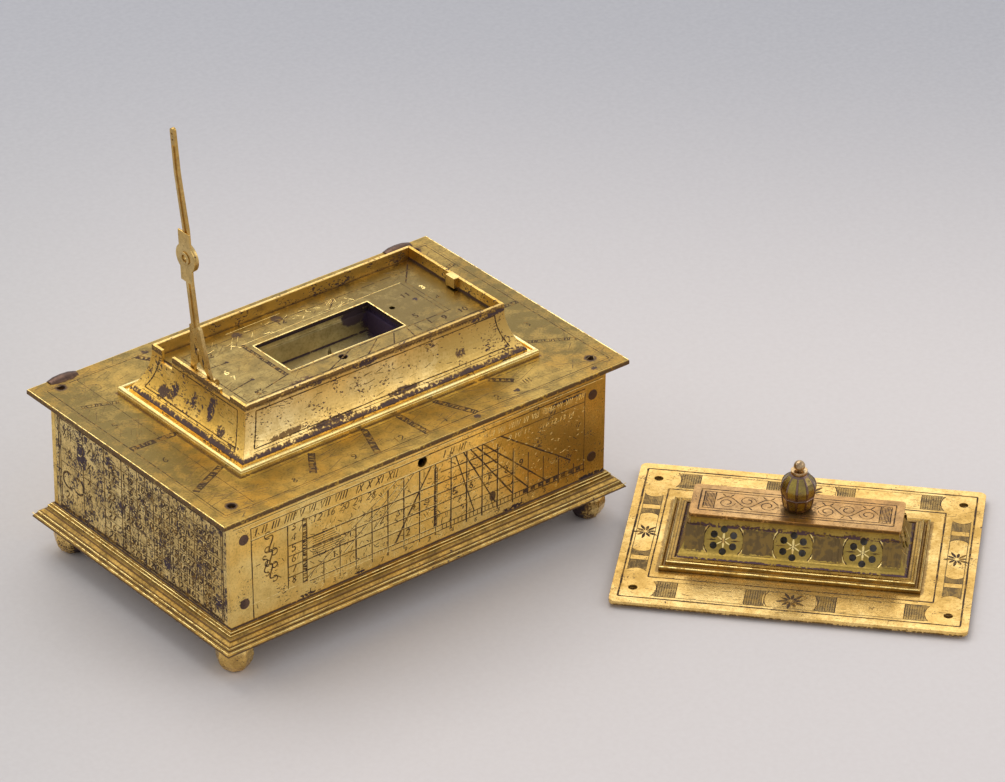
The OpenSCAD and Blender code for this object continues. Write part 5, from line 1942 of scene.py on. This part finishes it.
@dataclass
class Finial:
    """The dark acorn on the cover: two tiers of flat facets with raised ribs between them.

    Attributes:
        cover: the cover that it stands on.
        radius: its widest radius.
        height: its height.
        facets: how many facets it has round.
        inset: how deep the panel of a facet lies, as a share of the radius.
        profile: height and radius shares from foot to tip.
        panels: lowest and highest height share of the panels of each tier.
        columns: places of the mesh's columns across one facet, as shares.
    """

    cover: Cover
    radius: float = 4.8
    height: float = 10.5
    facets: int = 10
    inset: float = 0.03
    profile: tuple[Point, ...] = (
        (0.0, 0.66), (0.04, 0.76), (0.10, 0.82), (0.24, 0.885), (0.34, 0.92), (0.385, 0.925), (0.40, 0.89),
        (0.415, 0.93), (0.47, 0.96), (0.55, 0.99), (0.63, 1.0), (0.72, 0.96), (0.81, 0.87), (0.89, 0.72),
        (0.95, 0.56), (1.0, 0.42),
    )
    panels: tuple[Point, ...] = ((0.09, 0.35), (0.46, 0.92))
    columns: tuple[float, ...] = (0.0, 0.1, 0.13, 0.5, 0.87, 0.9)

    def build(self) -> None:
        """Makes the acorn and dresses the bead, stud and nut."""
        panel = gilded(
            "gilding_of_acorn", (206, 188, 96), (170, 150, 74), (126, 108, 74), (92, 74, 60),
            olive_share=0.7, pits=0.35, roughness=0.24,
        )
        rib = gilded(
            "bronze_of_acorn", (156, 134, 116), (134, 110, 94), (98, 80, 78), (76, 60, 60),
            olive_share=0.6, pits=0.4, roughness=0.22,
        )
        acorn = self.acorn()
        for finish in (panel, rib):
            acorn.data.materials.append(shared_material(finish))
        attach(acorn, "cover")
        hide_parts("finial")
        tip = gilded("gilding_of_tip", (236, 214, 170), (204, 172, 122), (140, 114, 90), base=rib)
        dress(["finial_bead", "finial_stud", "finial_nut"], tip, Softening(0.08, 40))
        log.info("made %s with %d faces", acorn.name, len(acorn.data.polygons))

    def in_panel(self, up: float) -> bool:
        """Whether a height share lies on a panel."""
        return any(low < up < high for low, high in self.panels)

    def acorn(self) -> bpy.types.Object:
        """Builds the acorn's closed mesh.

        Returns:
            The new object, in place.
        """
        count = len(self.columns)
        around = self.facets * count
        verts: list[Vector] = []
        for up, share in self.profile:
            for k in range(around):
                part = self.columns[k % count]
                turn = math.pi / self.facets * (2 * part - 1)
                flat = math.cos(math.pi / self.facets) / math.cos(turn)
                sunk = self.inset if self.in_panel(up) and 0.1 < part < 0.9 else 0.0
                radius = self.radius * share * (flat - sunk)
                angle = 2 * math.pi * (k // count + part + 0.5) / self.facets
                verts.append(
                    self.cover.at(
                        self.cover.casket[0] + radius * math.cos(angle),
                        self.cover.casket[1] + radius * math.sin(angle),
                        self.cover.slab + self.height * up,
                    ) * MM
                )
        rows = len(self.profile)
        faces, looks = [], []
        for row in range(rows - 1):
            middle = (self.profile[row][0] + self.profile[row + 1][0]) / 2
            for k in range(around):
                low, high = row * around, (row + 1) * around
                faces.append((low + k, low + (k + 1) % around, high + (k + 1) % around, high + k))
                looks.append(0 if self.in_panel(middle) and 1 < k % count < 4 else 1)
        top = (rows - 1) * around
        faces += [tuple(reversed(range(around))), tuple(range(top, top + around))]
        looks += [1, 1]
        mesh = bpy.data.meshes.new("acorn_finial")
        mesh.from_pydata(verts, [], faces)
        mesh.polygons.foreach_set("material_index", looks)
        mesh.shade_smooth()
        mesh.set_sharp_from_angle(angle=math.radians(14))
        return add_object(mesh.name, mesh)


# The studio


@dataclass(frozen=True)
class Lamp:
    """A soft square lamp.

    Attributes:
        name: its name.
        place: where it stands, in metres.
        aim: what it points at, in metres.
        size: its width in metres.
        watts: its power.
        colour: its colour.
    """

    name: str
    place: Spot
    aim: Spot
    size: float
    watts: float
    colour: Colour = (1.0, 0.97, 0.93)

    def light(self) -> None:
        """Sets the lamp up."""
        data = bpy.data.lights.new(self.name, "AREA")
        data.shape = "SQUARE"
        data.size = self.size
        data.energy = self.watts
        data.color = self.colour
        made = add_object(self.name, data)
        made.location = self.place
        made.rotation_mode = "QUATERNION"
        made.rotation_quaternion = (Vector(self.aim) - Vector(self.place)).to_track_quat("-Z", "Y")
        log.info("lit %s", self.name)


@dataclass
class Studio:
    """Floor, background, lamps and camera.

    Attributes:
        azimuth: the camera's angle round the box, in degrees.
        elevation: its angle above the floor.
        roll: its roll.
        distance: its distance from the aim point, in millimetres.
        shift: how far that point lies right of and above the box's foot, in the picture's plane.
        aim_height: height of the aim point.
        focal: focal length in pixels of a picture that is picture_width wide.
        picture_width: width of the picture in pixels.
        sensor: the sensor's width in millimetres.
        floor_width: width of the floor in metres.
        near_colour: colour of the floor towards the camera.
        far_colour: its colour far from the camera.
        left_colour: its colour to the left.
        left_band: how far to the right of the box's middle that colour starts and ends to give way.
        far_band: how far behind the box's middle the far colour starts and is full.
        world_colour: colour of the background.
        fill_colour: colour of the light that it gives.
        fill: strength of that light.
        lamps: the lamps.
    """

    azimuth: float = -39.73
    elevation: float = 30.76
    roll: float = 0.66
    distance: float = 1307.66
    shift: Point = (44.62, 34.68)
    aim_height: float = 2.3
    focal: float = 5019.5
    picture_width: int = 1005
    sensor: float = 36.0
    floor_width: float = 12.0
    near_colour: Colour = srgb(210, 203, 201)
    far_colour: Colour = srgb(164, 164, 170)
    left_colour: Colour = srgb(189, 186, 185)
    left_band: Point = (-160.0, 0.0)
    far_band: Point = (40.0, 330.0)
    world_colour: Colour = srgb(218, 217, 220)
    fill_colour: Colour = (0.93, 0.95, 0.98)
    fill: float = 0.72
    lamps: tuple[Lamp, ...] = (
        Lamp("top_softbox", (0.1, 0.6, 1.25), (0.03, -0.03, 0.03), 1.0, 7.5),
        Lamp("right_softbox", (0.9, -0.95, 0.85), (0.03, -0.03, 0.03), 0.9, 2.8),
        Lamp("left_softbox", (-0.95, 1.0, 0.75), (0.0, 0.0, 0.03), 0.8, 2.3),
        Lamp("back_softbox", (0.95, 0.95, 0.85), (0.06, -0.04, 0.02), 0.8, 1.6),
    )

    def build(self) -> None:
        """Sets up everything round the object."""
        self.lay_floor()
        self.paint_world()
        for lamp in self.lamps:
            lamp.light()
        self.place_camera()
        bpy.context.scene.view_settings.view_transform = "Standard"

    def lay_floor(self) -> None:
        """Lays the pale floor, with painted shade making it a little darker away from the camera and to the
        left.
        """
        half = self.floor_width / 2
        mesh = bpy.data.meshes.new("studio_floor")
        mesh.from_pydata(
            [(-half, -half, 0), (half, -half, 0), (half, half, 0), (-half, half, 0)], [], [(0, 1, 2, 3)],
        )
        made = add_object("studio_floor", mesh)
        material, g = material_graph("pale_floor")
        x, y, _ = g.axes(g.place())
        turn = math.radians(-self.azimuth)
        away = x * math.sin(turn) + y * math.cos(turn)
        aside = x * math.cos(turn) - y * math.sin(turn)
        paper = g.noise(1.5, detail=3, seed=20)
        # painted shade: the floor darkens to the left and away from the camera, standing in for the
        # fall-off of the light
        colour = g.blend(1 - aside.rise(*self.left_band), self.near_colour, self.left_colour)
        colour = g.blend(away.rise(*self.far_band), colour, self.far_colour)
        colour = g.blend((paper - 0.5) * 0.12 + 0.03, colour, (1.0, 1.0, 1.0))
        shader = g.node("ShaderNodeBsdfPrincipled", None, {"Base Color": colour, "Roughness": 0.85})
        g.node("ShaderNodeOutputMaterial", None, {0: shader.outputs[0]})
        mesh.materials.append(material)
        log.info("laid studio_floor")

    def paint_world(self) -> None:
        """Paints the background that the camera and the metal see, and sets the light it gives."""
        world = bpy.data.worlds.new("studio_world")
        bpy.context.scene.world = world
        world.use_nodes = True
        g = Graph(world.node_tree)
        path = g.node("ShaderNodeLightPath")
        seen = Value(g, path.outputs["Is Camera Ray"])
        for ray in ("Is Glossy Ray", "Is Transmission Ray"):
            seen = seen.at_least(Value(g, path.outputs[ray]))
        backdrop = g.node("ShaderNodeBackground", None, {"Color": self.world_colour, "Strength": 1.0})
        light = g.node("ShaderNodeBackground", None, {"Color": self.fill_colour, "Strength": self.fill})
        mixed = g.node("ShaderNodeMixShader", None, {0: seen, 1: light.outputs[0], 2: backdrop.outputs[0]})
        g.node("ShaderNodeOutputWorld", None, {0: mixed.outputs[0]})

    def place_camera(self) -> None:
        """Puts the camera where the photograph was taken from."""
        azimuth, elevation = math.radians(self.azimuth), math.radians(self.elevation)
        back = Vector(
            (
                math.sin(azimuth) * math.cos(elevation),
                -math.cos(azimuth) * math.cos(elevation),
                math.sin(elevation),
            )
        )
        level = Vector((math.cos(azimuth), math.sin(azimuth), 0.0))
        above = back.cross(level)
        c, s = math.cos(math.radians(self.roll)), math.sin(math.radians(self.roll))
        right, up = level * c + above * s, above * c - level * s
        data = bpy.data.cameras.new("photo_camera")
        data.sensor_width = self.sensor
        data.lens = self.focal / self.picture_width * self.sensor
        data.clip_start, data.clip_end = 0.01, 50.0
        made = add_object("photo_camera", data)
        aim = Vector((0, 0, self.aim_height))
        place = right * self.shift[0] + up * self.shift[1] + back * self.distance + aim
        made.matrix_world = Matrix.Translation(place * MM) @ Matrix((right, up, back)).transposed().to_4x4()
        bpy.context.scene.camera = made
        log.info("placed %s", made.name)


def main() -> None:
    """Builds the sub-assemblies in order, then the studio."""
    logging.basicConfig(level=logging.INFO, format="%(name)s: %(message)s")
    for part in (Box(), Tray(), Gnomon(), Cover(), Studio()):
        part.build()
        log.info("finished %s", type(part).__name__)


if __name__ == "__main__":
    main()
